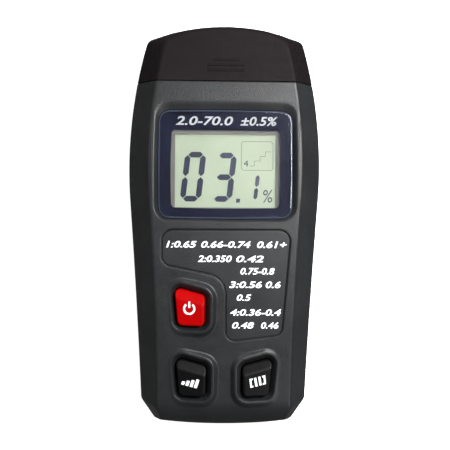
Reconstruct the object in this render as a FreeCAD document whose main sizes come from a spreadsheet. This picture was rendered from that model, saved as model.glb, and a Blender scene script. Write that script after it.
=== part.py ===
"""Two-pin moisture meter for timber floors: case, cap, keys, display, probe and battery.

The meter lies on its back. The origin is the centre of the flat back, +X is to its right,
+Y is toward the pins and +Z comes out of the display. Lengths are in millimetres.
"""
import FreeCAD, Part

import math
import os
import re
from types import SimpleNamespace

import Sketcher

V = FreeCAD.Vector
Rotation = FreeCAD.Rotation
Placement = FreeCAD.Placement

SIZES = {
    # Outline of the case and cap, seen from the front.
    "half_length": 69.0,
    "wide_half": 33.33,
    "widest_at": 20.0,
    "flank_radius": 160.0,
    "waist_at": 8.0,
    "flank_hollow": 0.217,
    "foot_half": 28.6,
    "foot_at": -60.4,
    "toe_half": 24.0,
    "toe_at": -67.0,
    "shoulder_at": 64.35,
    "brow_half": 18.5,
    "brow_at": 67.27,
    "foot_round": 1.5,
    "shoulder_round": 3.0,
    "brow_round": 10.0,
    # Side view: the face is a shallow arch that rolls off at the foot.
    "face_top": 30.0,
    "face_radius": 1100.0,
    "face_mid": 10.0,
    "roll_at": -60.0,
    "roll_radius": 11.0,
    "roll_turn": 62.0,
    "facet_low": 19.0,
    "facet_slope": 0.633,
    "facet_high": 32.0,
    "crown_lean": 0.146,
    "toe_lean": 0.073,
    "chamfer_lean": 0.6,
    "ridge_round": 1.5,
    "back_round": 5.0,
    # Shells.
    "split_low": 12.9,
    "split_high": 13.1,
    "case_wall": 1.9,
    "end_wall_at": 47.4,
    "case_end": 49.3,
    "lip_inset": 1.05,
    "lip_top": 14.2,
    "rebate_inset": 0.95,
    "rebate_top": 14.4,
    "lip_end": 44.9,
    "cap_start": 49.55,
    "cap_wall": 1.8,
    "rib_radius": 0.55,
    "rib_half": 6.4,
    "rib_first": 53.1,
    "rib_step": 1.8,
    "rib_sink": 0.33,
    # Case screws and their bosses.
    "case_screw_x": 23.5,
    "case_screw_top": 42.3,
    "case_screw_foot_x": 23.3,
    "case_screw_foot": -53.0,
    "boss_radius": 2.7,
    "column_radius": 3.6,
    "recess_radius": 2.8,
    "screw_seat": 6.0,
    "screw_hole": 1.5,
    "screw_pilot": 1.2,
    "screw_shank": 1.15,
    "screw_tip": 22.0,
    "screw_head": 2.3,
    "screw_head_high": 1.5,
    # Display window.
    "lens_half": 22.75,
    "lens_low": 2.65,
    "lens_high": 39.1,
    "lens_round": 3.4,
    "lens_bulge": 0.3,
    "lens_fit": 0.15,
    "lens_back": 27.25,
    "lens_front": 28.75,
    "tape_back": 27.05,
    "ledge_back": 26.2,
    "window_half": 19.3,
    "window_low": 4.7,
    "window_high": 32.7,
    "frame_out_half": 24.5,
    "frame_out_low": 1.33,
    "frame_out_high": 43.8,
    "frame_out_z": 30.2,
    "frame_in_z": 28.6,
    "block_half": 26.0,
    "block_low": -1.0,
    "block_high": 44.0,
    # Label recess.
    "label_depth": 0.45,
    # Keys, their raised pads and their switches.
    "power_x": 11.85,
    "power_y": -27.7,
    "mode_x": 11.25,
    "mode_y": -51.85,
    "key_round": 1.8,
    "key_proud": 0.8,
    "key_fit": 0.35,
    "rim_grow": 1.75,
    "pad_grow": 2.65,
    "pad_foot_grow": 4.35,
    "pad_tilt": 0.0915,
    "pad_flush_x": 19.5,
    "funnel_depth": 1.9,
    "flange_low": 25.0,
    "flange_high": 25.6,
    "flange_grow": 1.0,
    "collar_low": 25.75,
    "collar_grow": 1.35,
    "switch_half": 3.0,
    "switch_high": 24.3,
    "switch_round": 0.5,
    "well_fit": 0.08,
    "plunger_radius": 1.7,
    "plunger_low": 23.5,
    "plunger_high": 24.95,
    # Circuit board.
    "board_low": 20.4,
    "board_high": 22.0,
    "board_half": 23.5,
    "board_neck_half": 20.3,
    "board_neck_at": -1.5,
    "board_top": 39.4,
    "board_foot": -61.0,
    "board_screw_x": 20.5,
    "board_screw_y": 37.3,
    "board_screw_foot_x": 18.2,
    "board_screw_foot_y": -40.0,
    "board_hole": 1.2,
    "board_shank": 0.95,
    "board_pilot": 1.0,
    "board_screw_tip": 26.3,
    "board_head": 1.9,
    "board_head_high": 1.4,
    "board_pilot_tip": 26.6,
    "post_radius": 1.75,
    # Liquid-crystal display.
    "lcd_half": 20.0,
    "lcd_low": 3.45,
    "lcd_high": 33.95,
    "lcd_back": 23.7,
    "lcd_front": 25.5,
    "reflector_back": 23.5,
    "zebra_width": 2.4,
    "lcd_frame_half": 22.4,
    "lcd_frame_low": 2.1,
    "lcd_frame_high": 35.3,
    "lcd_frame_front": 26.1,
    "lcd_fit": 0.15,
    "view_half": 17.3,
    "view_low": 6.2,
    "view_high": 31.2,
    # Battery bay, battery and its snap.
    "bay_half": 13.9,
    "bay_low": -62.0,
    "bay_high": -8.5,
    "bay_top": 19.2,
    "bay_wall": 1.2,
    "bay_roof": 20.2,
    "battery_half": 13.25,
    "battery_low": -60.3,
    "battery_high": -14.0,
    "battery_back": 1.65,
    "battery_front": 19.15,
    "battery_round": 2.2,
    "terminal_x": 6.35,
    "terminal_z": 10.4,
    "terminal_end": -11.9,
    "terminal_radius": 3.2,
    "stud_radius": 2.2,
    "cup_radius": 2.3,
    "snap_low": -11.7,
    "snap_high": -9.9,
    "snap_half": 12.5,
    "snap_back": 4.4,
    "snap_front": 16.4,
    "pad_half": 10.0,
    "pad_back": 4.0,
    "pad_front": 16.0,
    # Battery door.
    "door_half": 16.0,
    "door_fit": 0.2,
    "door_back": 0.15,
    "door_front": 1.6,
    "door_end": -5.0,
    "tongue_half": 17.2,
    "tongue_back": 0.9,
    "rail_half": 19.0,
    "rail_front": 3.0,
    "groove_half": 7.0,
    "groove_first": -18.0,
    "groove_wide": 0.8,
    "groove_step": 1.8,
    "groove_depth": 0.75,
    "arrow_half": 3.0,
    "arrow_at": -31.5,
    "arrow_tip": -36.5,
    "arrow_depth": 0.7,
    "lip_at": -65.5,
    "lip_front": 5.0,
    # Probe.
    "probe_x": 13.0,
    "probe_z": 15.0,
    "spigot_inset": 2.1,
    "spigot_end": 55.5,
    "step_inset": 2.7,
    "step_at": 54.7,
    "neck_inset": 3.7,
    "neck_hole_inset": 3.5,
    "flange_inset": 2.2,
    "flange_at": 45.2,
    "socket_radius": 2.5,
    "socket_back": 44.2,
    "socket_end": 55.6,
    "socket_bore": 1.5,
    "pin_back": 48.0,
    "pin_shank": 1.45,
    "hex_radius": 2.9,
    "hex_low": 55.7,
    "hex_high": 57.9,
    "needle_radius": 1.2,
    "needle_end": 62.8,
    "needle_tip": 65.6,
    "point_radius": 0.08,
    # Wires.
    "wire_radius": 0.6,
    "wire_bend": 2.0,
    "wire_hole_radius": 1.1,
    "probe_lead_turn": 37.0,
    "battery_lead_turn": -3.0,
    "battery_lead_z": 12.0,
}

doc = FreeCAD.newDocument("moisture_meter")
sheet = doc.addObject("Spreadsheet::Sheet", "dims")
for row, (alias, value) in enumerate(SIZES.items(), start=1):
    sheet.set(f"A{row}", alias)
    sheet.set(f"B{row}", str(value))
    sheet.setAlias(f"B{row}", alias)
doc.recompute()
d = SimpleNamespace(**{alias: float(sheet.get(alias)) for alias in SIZES})
nodes = {}


# ---------------------------------------------------------------- document helpers

def bind(item, prop, text):
    """Bind a property to an expression in which bare aliases stand for the sheet's cells."""
    names = re.compile(r"[a-z_]+")
    full = names.sub(lambda word: "dims." + word[0] if word[0] in SIZES else word[0], str(text))
    item.setExpression(prop, full)


def node(label, item):
    """Register a document object as the sub-part called label."""
    item.Label = label
    nodes[label] = item
    return item


def feature(name, shape):
    """A document object that holds a shape worked out below from the sheet's sizes."""
    item = doc.addObject("Part::Feature", name)
    item.Shape = shape
    item.Placement = Placement()
    return item


def box(name, x, y, z):
    """A block between the low and high expression on each axis."""
    item = doc.addObject("Part::Box", name)
    for prop, axis, (low, high) in zip(("Length", "Width", "Height"), "xyz", (x, y, z)):
        bind(item, prop, f"({high}) - ({low})")
        bind(item, "Placement.Base." + axis, low)
    return item


def cylinder(name, radius, at, high, along="z"):
    """A round bar from the point at, up to the coordinate high on the axis along."""
    item = doc.addObject("Part::Cylinder", name)
    turns = {"x": Rotation(V(0, 1, 0), 90), "y": Rotation(V(1, 0, 0), -90), "z": Rotation()}
    item.Placement = Placement(V(), turns[along])
    for axis, value in zip("xyz", at):
        bind(item, "Placement.Base." + axis, value)
    bind(item, "Radius", radius)
    bind(item, "Height", f"({high}) - ({at['xyz'.index(along)]})")
    return item


def fuse(name, parts):
    """The union of several objects."""
    item = doc.addObject("Part::MultiFuse", name)
    item.Shapes = parts
    return item


def cut(name, base, tools):
    """The base less all the tools."""
    item = doc.addObject("Part::Cut", name)
    item.Base = base
    item.Tool = tools[0] if len(tools) == 1 else fuse(name + "_tools", tools)
    return item


def common(name, first, second):
    """What two objects share."""
    item = doc.addObject("Part::Common", name)
    item.Base = first
    item.Tool = second
    return item


def group(name, parts):
    """Separate equal solids that share one node."""
    item = doc.addObject("Part::Compound", name)
    item.Links = parts
    return item


def slab(name, outline, low, high):
    """A flat plate of a closed outline, between two heights."""
    wire = feature(name + "_outline", outline)
    item = doc.addObject("Part::Extrusion", name)
    item.Base = wire
    item.DirMode = "Custom"
    item.Dir = V(0, 0, 1)
    item.Solid = True
    bind(item, "Placement.Base.z", low)
    bind(item, "LengthFwd", f"({high}) - ({low})")
    return item


def sketched(label, corners, low, high, round_off=None):
    """A PartDesign body: a polygon sketch of expressions, padded from low to high."""
    body = doc.addObject("PartDesign::Body", label + "_body")
    sketch = body.newObject("Sketcher::SketchObject", label + "_sketch")
    plane = [item for item in body.Origin.OriginFeatures if item.Role == "XY_Plane"][0]
    sketch.AttachmentSupport = [(plane, "")]
    sketch.MapMode = "FlatFace"
    bind(sketch, "AttachmentOffset.Base.z", low)
    count = len(corners)
    spots = [V(number(x), number(y), 0) for x, y in corners]
    for index in range(count):
        sketch.addGeometry(Part.LineSegment(spots[index], spots[(index + 1) % count]))
    for index in range(count):
        sketch.addConstraint(Sketcher.Constraint("Coincident", index, 2, (index + 1) % count, 1))
    for index, corner in enumerate(corners):
        for kind, value, place in zip(("DistanceX", "DistanceY"), corner, spots[index]):
            spot = sketch.addConstraint(Sketcher.Constraint(kind, -1, 1, index, 1, place))
            bind(sketch, f"Constraints[{spot}]", value)
    pad = body.newObject("PartDesign::Pad", label + "_pad")
    pad.Profile = sketch
    bind(pad, "Length", f"({high}) - ({low})")
    if round_off:
        doc.recompute()
        upright = [
            f"Edge{index}" for index, edge in enumerate(pad.Shape.Edges, start=1)
            if abs(edge.tangentAt(edge.FirstParameter).z) > 0.99
        ]
        soft = body.newObject("PartDesign::Fillet", label + "_fillet")
        soft.Base = (pad, upright)
        bind(soft, "Radius", round_off)
        body.Tip = soft
    return body


def rectangle(x, y):
    """The four corners between the low and high expression on each axis."""
    return [(x[0], y[0]), (x[1], y[0]), (x[1], y[1]), (x[0], y[1])]


def number(text):
    """The value of a sum, difference or product of aliases and numbers."""
    total = 0.0
    for sign, term in re.findall(r"([+-]?)\s*([^+-]+)", str(text)):
        value = -1.0 if sign == "-" else 1.0
        for factor in term.split("*"):
            word = factor.strip()
            value *= SIZES[word] if word in SIZES else float(word)
        total += value
    return total


# ---------------------------------------------------------------- outlines and the case form

def rounded_wire(points, level=0.0):
    """A closed flat outline from counter-clockwise (x, y, corner radius, bulge) points.

    The bulge is how far the side that leaves a point bows outward from its chord.
    """
    spots = [V(x, y, level) for x, y, radius, bulge in points]
    sides = []
    for here, there, (x, y, radius, bulge) in zip(spots, spots[1:] + spots[:1], points):
        if bulge:
            outward = V(there.y - here.y, here.x - there.x, 0).normalize()
            crest = (here + there) * 0.5 + outward * bulge
            sides.append(Part.Arc(here, crest, there).toShape())
        else:
            sides.append(Part.LineSegment(here, there).toShape())
    prism = Part.Face(Part.Wire(sides)).extrude(V(0, 0, 1))
    for spot, (x, y, radius, bulge) in zip(spots, points):
        if radius:
            upright = [edge for edge in prism.Edges if abs(edge.tangentAt(0).z) > 0.99]
            nearest = min(upright, key=lambda edge: edge.CenterOfMass.distanceToPoint(spot))
            prism = prism.makeFillet(radius, [nearest])
    floor = min(prism.Faces, key=lambda face: face.CenterOfMass.z)
    return floor.OuterWire


def side_x(y, inset):
    """Half-width of the case between the waist and the shoulder, drawn in by inset."""
    reach = d.flank_radius - inset
    return d.wide_half - d.flank_radius + math.sqrt(reach**2 - (y - d.widest_at) ** 2)


def case_section(level, inset):
    """The case outline at a height, drawn in by inset and leaning in above the facet line."""
    lean = max(level - d.facet_low, 0.0) * d.facet_slope
    side = inset + lean
    chamfer = inset + lean * d.chamfer_lean
    crown = inset + lean * d.crown_lean
    sole = inset + lean * d.toe_lean
    slant = V(d.foot_half - d.toe_half, d.foot_at - d.toe_at, 0).normalize()
    toe = (d.toe_half + (slant.x * sole - chamfer) / slant.y, d.toe_at + sole)
    foot = (d.foot_half - side, d.foot_at + (chamfer - slant.y * side) / slant.x)
    waist = (side_x(d.waist_at, side), d.waist_at)
    shoulder = (side_x(d.shoulder_at - crown, side), d.shoulder_at - crown)
    brow = (d.brow_half - d.chamfer_lean * side, d.brow_at - crown)
    reach = d.flank_radius - side
    bow = reach - math.sqrt(reach**2 - math.dist(waist, shoulder) ** 2 / 4)
    corner = d.shoulder_round + 0.3 * lean
    heel = d.foot_round * max(1 - inset / 4, 0.1)
    right = [
        (*toe, heel, 0.0),
        (*foot, heel, -d.flank_hollow),
        (*waist, 0.0, bow),
        (*shoulder, corner, 0.0),
        (*brow, d.brow_round, d.half_length - d.brow_at),
    ]
    left = [
        (-brow[0], brow[1], d.brow_round, 0.0),
        (-shoulder[0], shoulder[1], corner, bow),
        (-waist[0], waist[1], 0.0, -d.flank_hollow),
        (-foot[0], foot[1], heel, 0.0),
        (-toe[0], toe[1], heel, d.half_length + d.toe_at),
    ]
    return rounded_wire(right + left, level)


def face_height(y, drop=0.0):
    """Height of the arched face at y, lowered by drop."""
    radius = d.face_radius - drop
    return d.face_top - d.face_radius + math.sqrt(radius**2 - (y - d.face_mid) ** 2)


def under_face(drop=0.0):
    """Everything below the arched face and its roll at the foot, lowered by drop."""
    far = 80.0
    radius = d.face_radius - drop
    roll = d.roll_radius - drop
    tilt = math.asin((d.face_mid - d.roll_at) / d.face_radius)
    centre_z = d.face_top - d.face_radius
    start = V(0, d.face_mid - radius * math.sin(tilt), centre_z + radius * math.cos(tilt))
    hub = start - V(0, -math.sin(tilt), math.cos(tilt)) * roll

    def on_roll(turn):
        """The point of the roll that lies turn degrees past its start."""
        angle = tilt + math.radians(turn)
        return hub + V(0, -math.sin(angle), math.cos(angle)) * roll

    last = on_roll(d.roll_turn)
    fall = tilt + math.radians(d.roll_turn)
    foot = last + V(0, -math.cos(fall), -math.sin(fall)) * 20
    arch = Part.Arc(start, V(0, d.face_mid, centre_z + radius), V(0, far, face_height(far, drop)))
    sides = [
        Part.LineSegment(foot, last),
        Part.Arc(last, on_roll(d.roll_turn / 2), start),
        arch,
        Part.LineSegment(V(0, far, face_height(far, drop)), V(0, far, -5)),
        Part.LineSegment(V(0, far, -5), V(0, foot.y, -5)),
        Part.LineSegment(V(0, foot.y, -5), foot),
    ]
    profile = Part.Face(Part.Wire([side.toShape() for side in sides]))
    profile.translate(V(-50, 0, 0))
    return profile.extrude(V(100, 0, 0))


def face_edges(solid):
    """The edges between the arched face with its roll and the facets round them."""
    uses = {}
    for face in solid.Faces:
        u_low, u_high, v_low, v_high = face.ParameterRange
        normal = face.normalAt((u_low + u_high) / 2, (v_low + v_high) / 2)
        crosswise = face.Surface.TypeId == "Part::GeomCylinder" and abs(normal.x) < 0.02
        if crosswise and normal.z > 0.5:
            for edge in face.Edges:
                uses.setdefault(edge.hashCode(), []).append(edge)
    return [found[0] for found in uses.values() if len(found) == 1]


def case_form(inset=0.0):
    """The closed outer form of the meter with its cap on, shrunk by inset."""
    lower = Part.Face(case_section(0.0, inset))
    lower.translate(V(0, 0, inset))
    prism = lower.extrude(V(0, 0, d.facet_low - inset))
    sections = [case_section(level, inset) for level in (d.facet_low, d.facet_high)]
    solid = prism.fuse(Part.makeLoft(sections, True, True)).common(under_face(inset))
    if inset == 0.0:
        solid = solid.makeFillet(d.ridge_round, face_edges(solid))
    sole = [edge for edge in solid.Edges if edge.BoundBox.ZMax < inset + 0.001]
    return solid.makeFillet(max(d.back_round - inset, 1.0), sole)


def mirrored(shape):
    """The same shape on the other side of the centre plane."""
    return shape.mirror(V(0, 0, 0), V(1, 0, 0))


# ---------------------------------------------------------------- keys and their places

def key_wire(grow=0.0):
    """Outline of a left-hand key about its own centre, grown on every side."""
    corners = [(-5.35, 6.7), (-4.1, -6.3), (4.95, -6.65), (5.1, 3.9)]
    wire = rounded_wire([(x, y, d.key_round, 0.0) for x, y in corners])
    return wire.makeOffset2D(grow) if grow else wire


def face_place(x, y, lift):
    """Where the face is at (x, y), following its slope, raised by lift."""
    slope = -(y - d.face_mid) / d.face_radius
    return Placement(V(x, y, face_height(y) + lift), Rotation(V(0, 0, 1), V(0, -slope, 1)))


def rim_place(x, y, lift=0.0):
    """The tilted top of a left-hand key's raised pad, raised by lift."""
    slope = -(y - d.face_mid) / d.face_radius
    rise = d.pad_tilt * (d.pad_flush_x + x)
    turn = Rotation(V(0, 0, 1), V(-d.pad_tilt, -slope, 1))
    return Placement(V(x, y, face_height(y) + rise + lift), turn)


def placed(wire, place):
    """A copy of a wire moved to a place."""
    moved = wire.copy()
    moved.Placement = place.multiply(moved.Placement)
    return moved


def key_pad(x, y):
    """The raised, tilted pad round a left-hand key, with sloping walls."""
    foot = placed(key_wire(d.pad_foot_grow), face_place(x, y, -0.35))
    top = placed(key_wire(d.pad_grow), rim_place(x, y))
    return Part.makeLoft([foot, top], True, True)


def key_hole(x, y):
    """The funnel and the straight throat that a left-hand key stands in."""
    slope = (d.rim_grow - d.key_fit) / d.funnel_depth
    extra = 0.4
    low = placed(key_wire(d.key_fit - slope * extra), rim_place(x, y, -d.funnel_depth - extra))
    high = placed(key_wire(d.rim_grow + slope * extra), rim_place(x, y, extra))
    funnel = Part.makeLoft([low, high], True, True)
    throat = key_prism(x, y, d.key_fit, d.collar_low - 1, rim_place(x, y).Base.z - 1.2)
    return funnel.fuse(throat)


def key_prism(x, y, grow, low, high):
    """A straight prism of the key's outline between two heights."""
    base = placed(key_wire(grow), Placement(V(x, y, low), Rotation()))
    return Part.Face(base).extrude(V(0, 0, high - low))


def clear_above(place):
    """A large block on the upper side of a plane."""
    block = Part.makeBox(60, 60, 30, V(-30, -30, 0))
    block.Placement = place
    return block


def key_solid(x, y):
    """A key: flange, straight shaft, and a flat top with a long slope at its upper end."""
    top = rim_place(x, y, d.key_proud)
    ridge = Placement(V(-0.15, 1.85, 0), Rotation(V(0, 0, 1), math.degrees(math.atan2(-2.6, 9.2))))
    slope = Placement(V(), Rotation(V(1, 0, 0), -28))
    inner = Placement(V(4.45, 0, 0), Rotation(V(0, 1, 0), 38))
    shaft = key_prism(x, y, 0.0, d.flange_low, top.Base.z + 3)
    for place in (top, top.multiply(ridge).multiply(slope), top.multiply(inner)):
        shaft = shaft.cut(clear_above(place))
    flange = key_prism(x, y, d.flange_grow, d.flange_low, d.flange_high)
    return shaft.fuse(flange).removeSplitter()


KEYS = {
    "power": (-d.power_x, d.power_y, False),
    "mode": (-d.mode_x, d.mode_y, False),
    "hold": (-d.mode_x, d.mode_y, True),
}


def for_key(maker, key, *sizes):
    """The shape that maker builds for a key, mirrored for the right-hand one."""
    x, y, flipped = KEYS[key]
    shape = maker(x, y, *sizes)
    return mirrored(shape) if flipped else shape


# ---------------------------------------------------------------- shells

outer = feature("outer_form", case_form())
cavity = feature("cavity_form", case_form(d.case_wall))
rebate_form = feature("rebate_form", case_form(d.rebate_inset))
neck_hole = common(
    "neck_hole",
    feature("neck_hole_form", case_form(d.neck_hole_inset)),
    box("neck_hole_span", ("-40", "40"), ("lip_end", "50"), ("-5", "40")),
)
room = common("room", cavity, box("room_span", ("-40", "40"), ("-75", "end_wall_at"), ("-5", "40")))


def corners(name, x, y, foot_x, foot_y, radius, low, high):
    """Four upright bars: a pair at the pin end and a pair at the foot end."""
    bars = []
    for side in ("", "-"):
        bars.append(cylinder(f"{name}_top", radius, (side + x, y, low), high))
        bars.append(cylinder(f"{name}_foot", radius, (side + foot_x, foot_y, low), high))
    return bars


def case_bars(name, radius, low, high):
    """Four bars on the axes of the case screws."""
    places = ("case_screw_x", "case_screw_top", "case_screw_foot_x", "case_screw_foot")
    return corners(name, *places, radius, low, high)


def board_bars(name, radius, low, high):
    """Four bars on the axes of the board screws."""
    places = ("board_screw_x", "board_screw_y", "board_screw_foot_x", "board_screw_foot_y")
    return corners(name, *places, radius, low, high)


def lens_wire(grow, level):
    """Outline of the display lens, grown on every side."""
    half = d.lens_half + grow
    low = d.lens_low - grow
    high = d.lens_high + grow
    spots = [(-half, low), (half, low), (half, high), (-half, high)]
    return rounded_wire([(x, y, d.lens_round + grow, d.lens_bulge) for x, y in spots], level)


def lens_seat():
    """The pocket of the lens, with the sloping border that leads down to it."""
    half = d.frame_out_half
    spots = [(-half, d.frame_out_low), (half, d.frame_out_low)]
    spots += [(half, d.frame_out_high), (-half, d.frame_out_high)]
    brim = [(x, y, d.lens_round + 1.8, d.lens_bulge) for x, y in spots]
    low = lens_wire(d.lens_fit + 0.1, d.frame_in_z)
    slope = Part.makeLoft([low, rounded_wire(brim, d.frame_out_z)], True, True)
    pocket = Part.Face(lens_wire(d.lens_fit, d.tape_back)).extrude(V(0, 0, 2.2))
    return pocket.fuse(slope)


def label_recess():
    """The shallow L-shaped panel below the display that carries the group list."""
    spots = [
        (-21.8, -1.36, 4.0, 0.0),
        (-21.75, -13.43, 3.4, 0.0),
        (0.2, -17.82, 7.0, 0.0),
        (0.27, -40.0, 3.3, 0.0),
        (19.75, -37.6, 3.5, 0.0),
        (22.7, -1.36, 4.0, 0.0),
    ]
    prism = Part.Face(rounded_wire(spots, 25.0)).extrude(V(0, 0, 10))
    return prism.cut(under_face(d.label_depth))


def make_front_case():
    """Front shell: face, facets, key pads, lens seat, label panel, bosses and posts."""
    span = box("front_span", ("-40", "40"), ("-75", "case_end"), ("split_high", "40"))
    block = common("front_block", outer, span)
    pads = [feature(key + "_pad", for_key(key_pad, key)) for key in KEYS]
    window_block = box(
        "window_block", ("-block_half", "block_half"), ("block_low", "block_high"), ("ledge_back", "40")
    )
    collars = [
        feature(key + "_collar", for_key(key_prism, key, d.collar_grow, d.collar_low, 40))
        for key in KEYS
    ]
    bosses = case_bars("front_boss", "boss_radius", "split_high", "40")
    posts = board_bars("board_post", "post_radius", "board_high", "40")
    hollow = cut("front_hollow", room, bosses + posts + collars + [window_block])
    window = box(
        "window", ("-window_half", "window_half"), ("window_low", "window_high"), ("20", "40")
    )
    rebate_span = box("rebate_span", ("-40", "40"), ("-75", "lip_end + 0.1"), ("0", "rebate_top"))
    tools = [hollow, feature("lens_seat", lens_seat()), feature("label_recess", label_recess())]
    tools += [window, neck_hole, common("rebate", rebate_form, rebate_span)]
    tools += [feature(key + "_hole", for_key(key_hole, key)) for key in KEYS]
    tools += case_bars("front_pilot", "screw_pilot", "split_high - 1", "screw_tip + 0.5")
    tools += board_bars("post_pilot", "board_pilot", "board_high - 1", "board_pilot_tip")
    return cut("front_case", fuse("front_whole", [block] + pads), tools)


def make_rear_case():
    """Rear shell: back, battery bay, door rails and channel, screw columns and lip."""
    span = box("rear_span", ("-40", "40"), ("-75", "case_end"), ("-5", "split_low"))
    shell = cut("rear_shell", common("rear_block", outer, span), [room])
    lip_form = feature("lip_form", case_form(d.lip_inset))
    lip_span = box("lip_span", ("-40", "40"), ("-75", "lip_end"), ("split_low - 1.5", "lip_top"))
    lip = cut("rear_lip", common("lip_block", lip_form, lip_span), [room])
    columns = case_bars("rear_column", "column_radius", "0.5", "split_low")
    rails = box("rails", ("-rail_half", "rail_half"), ("-66.5", "-3.5"), ("0.5", "rail_front"))
    bay = box(
        "bay_outer", ("-bay_half - bay_wall", "bay_half + bay_wall"),
        ("bay_low - bay_wall", "bay_high + bay_wall"), ("0.5", "bay_roof"),
    )
    inner = common("rear_inner", fuse("rear_adds", columns + [rails, bay]), rebate_form)
    tools = [
        box("bay_inner", ("-bay_half", "bay_half"), ("bay_low", "bay_high"), ("-5", "bay_top")),
        box("channel", ("-door_half - door_fit", "door_half + door_fit"), ("-80", "door_end + door_fit"),
            ("-5", "tongue_back - 0.1")),
        box("groove", ("-tongue_half - door_fit", "tongue_half + door_fit"), ("-80", "door_end + door_fit"),
            ("tongue_back - 0.15", "door_front + 0.15")),
        box("lip_gap", ("-door_half - door_fit", "door_half + door_fit"), ("-80", "lip_at + door_fit"),
            ("-5", "lip_front + door_fit")),
        neck_hole,
        common("flange_room", room, box(
            "flange_span", ("-40", "40"), ("flange_at - 0.2", "end_wall_at"), ("-5", "40"))),
    ]
    tools += case_bars("screw_recess", "recess_radius", "-5", "screw_seat")
    tools += case_bars("screw_way", "screw_hole", "-5", "split_low + 1")
    for side in ("", "-"):
        hole_at = (side + "terminal_x", "bay_high - 0.5", "battery_lead_z")
        tools.append(cylinder("wire_hole", "wire_hole_radius", hole_at, "-6.5", "y"))
    return cut("rear_case", fuse("rear_whole", [shell, lip, inner]), tools)


def make_cap():
    """Protective cap over the pins, with three grip ribs on its front."""
    span = box("cap_span", ("-40", "40"), ("cap_start", "75"), ("-5", "40"))
    ribs = []
    for step in range(3):
        half = "rib_half" if step < 2 else "rib_half * 0.7"
        level = face_height(d.rib_first + step * d.rib_step) - d.rib_sink
        place = (f"-{half}", f"rib_first + {step} * rib_step", str(level))
        ribs.append(cylinder("grip_rib", "rib_radius", place, half, "x"))
    whole = fuse("cap_whole", [common("cap_block", outer, span)] + ribs)
    return cut("protective_cap", whole, [feature("cap_hollow", case_form(d.cap_wall))])


def make_battery_door():
    """Sliding battery door: plate, side tongues, turned-up end and finger grooves."""
    plate = box("door_plate", ("-door_half", "door_half"), ("-75", "door_end"), ("door_back", "door_front"))
    tongues = box(
        "door_tongues", ("-tongue_half", "tongue_half"), ("-66", "door_end"), ("tongue_back", "door_front")
    )
    lip = box("door_lip", ("-door_half", "door_half"), ("-75", "lip_at"), ("door_back", "lip_front"))
    block = common("door_block", outer, fuse("door_blank", [plate, tongues, lip]))
    grooves = []
    for step in range(6):
        high = f"groove_first - {step} * groove_step"
        span = (high + " - groove_wide", high)
        grooves.append(box("finger_groove", ("-groove_half", "groove_half"), span, ("-1", "groove_depth")))
    arrow = feature("door_arrow", door_arrow())
    return cut("battery_door", block, grooves + [arrow])


def door_arrow():
    """A sunk triangle that points the way the door slides off."""
    spots = [(-d.arrow_half, d.arrow_at), (0.0, d.arrow_tip), (d.arrow_half, d.arrow_at)]
    wire = rounded_wire([(x, y, 0.4, 0.0) for x, y in spots], -1.0)
    return Part.Face(wire).extrude(V(0, 0, d.arrow_depth + 1))


node("front_case", make_front_case())
node("rear_case", make_rear_case())
node("protective_cap", make_cap())
node("battery_door", make_battery_door())


# ---------------------------------------------------------------- display

def display():
    """Lens, tape, liquid-crystal panel, reflector, frame and the two zebra strips."""
    node("display_lens", slab("display_lens", lens_wire(0.0, 0.0), "lens_back", "lens_front"))
    ring = slab("tape_sheet", lens_wire(-0.2, 0.0), "tape_back", "lens_back")
    hole = box("tape_hole", ("-window_half", "window_half"), ("window_low", "window_high"), ("20", "40"))
    node("lens_tape", cut("lens_tape", ring, [hole]))
    glass_y = ("lcd_low", "lcd_high")
    panel = sketched("lcd_panel", rectangle(("-lcd_half", "lcd_half"), glass_y), "lcd_back", "lcd_front")
    node("lcd_panel", panel)
    behind = rectangle(("-lcd_half", "lcd_half"), ("lcd_low + 3", "lcd_high - 3"))
    node("lcd_reflector", sketched("lcd_reflector", behind, "reflector_back", "lcd_back"))
    body = box(
        "lcd_frame_body", ("-lcd_frame_half", "lcd_frame_half"), ("lcd_frame_low", "lcd_frame_high"),
        ("board_high", "lcd_frame_front"),
    )
    bed = box(
        "lcd_bed", ("-lcd_half - lcd_fit", "lcd_half + lcd_fit"), ("lcd_low - lcd_fit", "lcd_high + lcd_fit"),
        ("20", "lcd_front + 0.02"),
    )
    view = box("lcd_view", ("-view_half", "view_half"), ("view_low", "view_high"), ("20", "40"))
    node("lcd_frame", cut("lcd_frame", body, [bed, view]))
    strips = []
    for low in ("lcd_low + 0.2", "lcd_high - 0.2 - zebra_width"):
        span = (low, f"{low} + zebra_width")
        strips.append(box("zebra", ("1.5 - lcd_half", "lcd_half - 1.5"), span, ("board_high", "lcd_back")))
    node("zebra_strips", group("zebra_strips", strips))


display()


# ---------------------------------------------------------------- keys and switches

def key_set(key):
    """A key, the plunger that it presses and the body of its switch."""
    x, y, flipped = KEYS[key]
    at_x = ("" if flipped else "-") + ("power_x" if key == "power" else "mode_x")
    at_y = "power_y" if key == "power" else "mode_y"
    node(key + "_key", feature(key + "_key", for_key(key_solid, key)))
    plunger = cylinder(key + "_plunger", "plunger_radius", (at_x, at_y, "plunger_low"), "plunger_high")
    node(key + "_plunger", plunger)
    span_x = (f"{at_x} - switch_half", f"{at_x} + switch_half")
    span_y = (f"{at_y} - switch_half", f"{at_y} + switch_half")
    body = sketched(key + "_switch", rectangle(span_x, span_y), "board_high", "switch_high", "switch_round")
    well = cylinder(key + "_well", "plunger_radius + well_fit", (at_x, at_y, "plunger_low - 0.5"), "30")
    node(key + "_switch", cut(key + "_switch", body, [well]))


for key_name in KEYS:
    key_set(key_name)


# ---------------------------------------------------------------- circuit board

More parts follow.
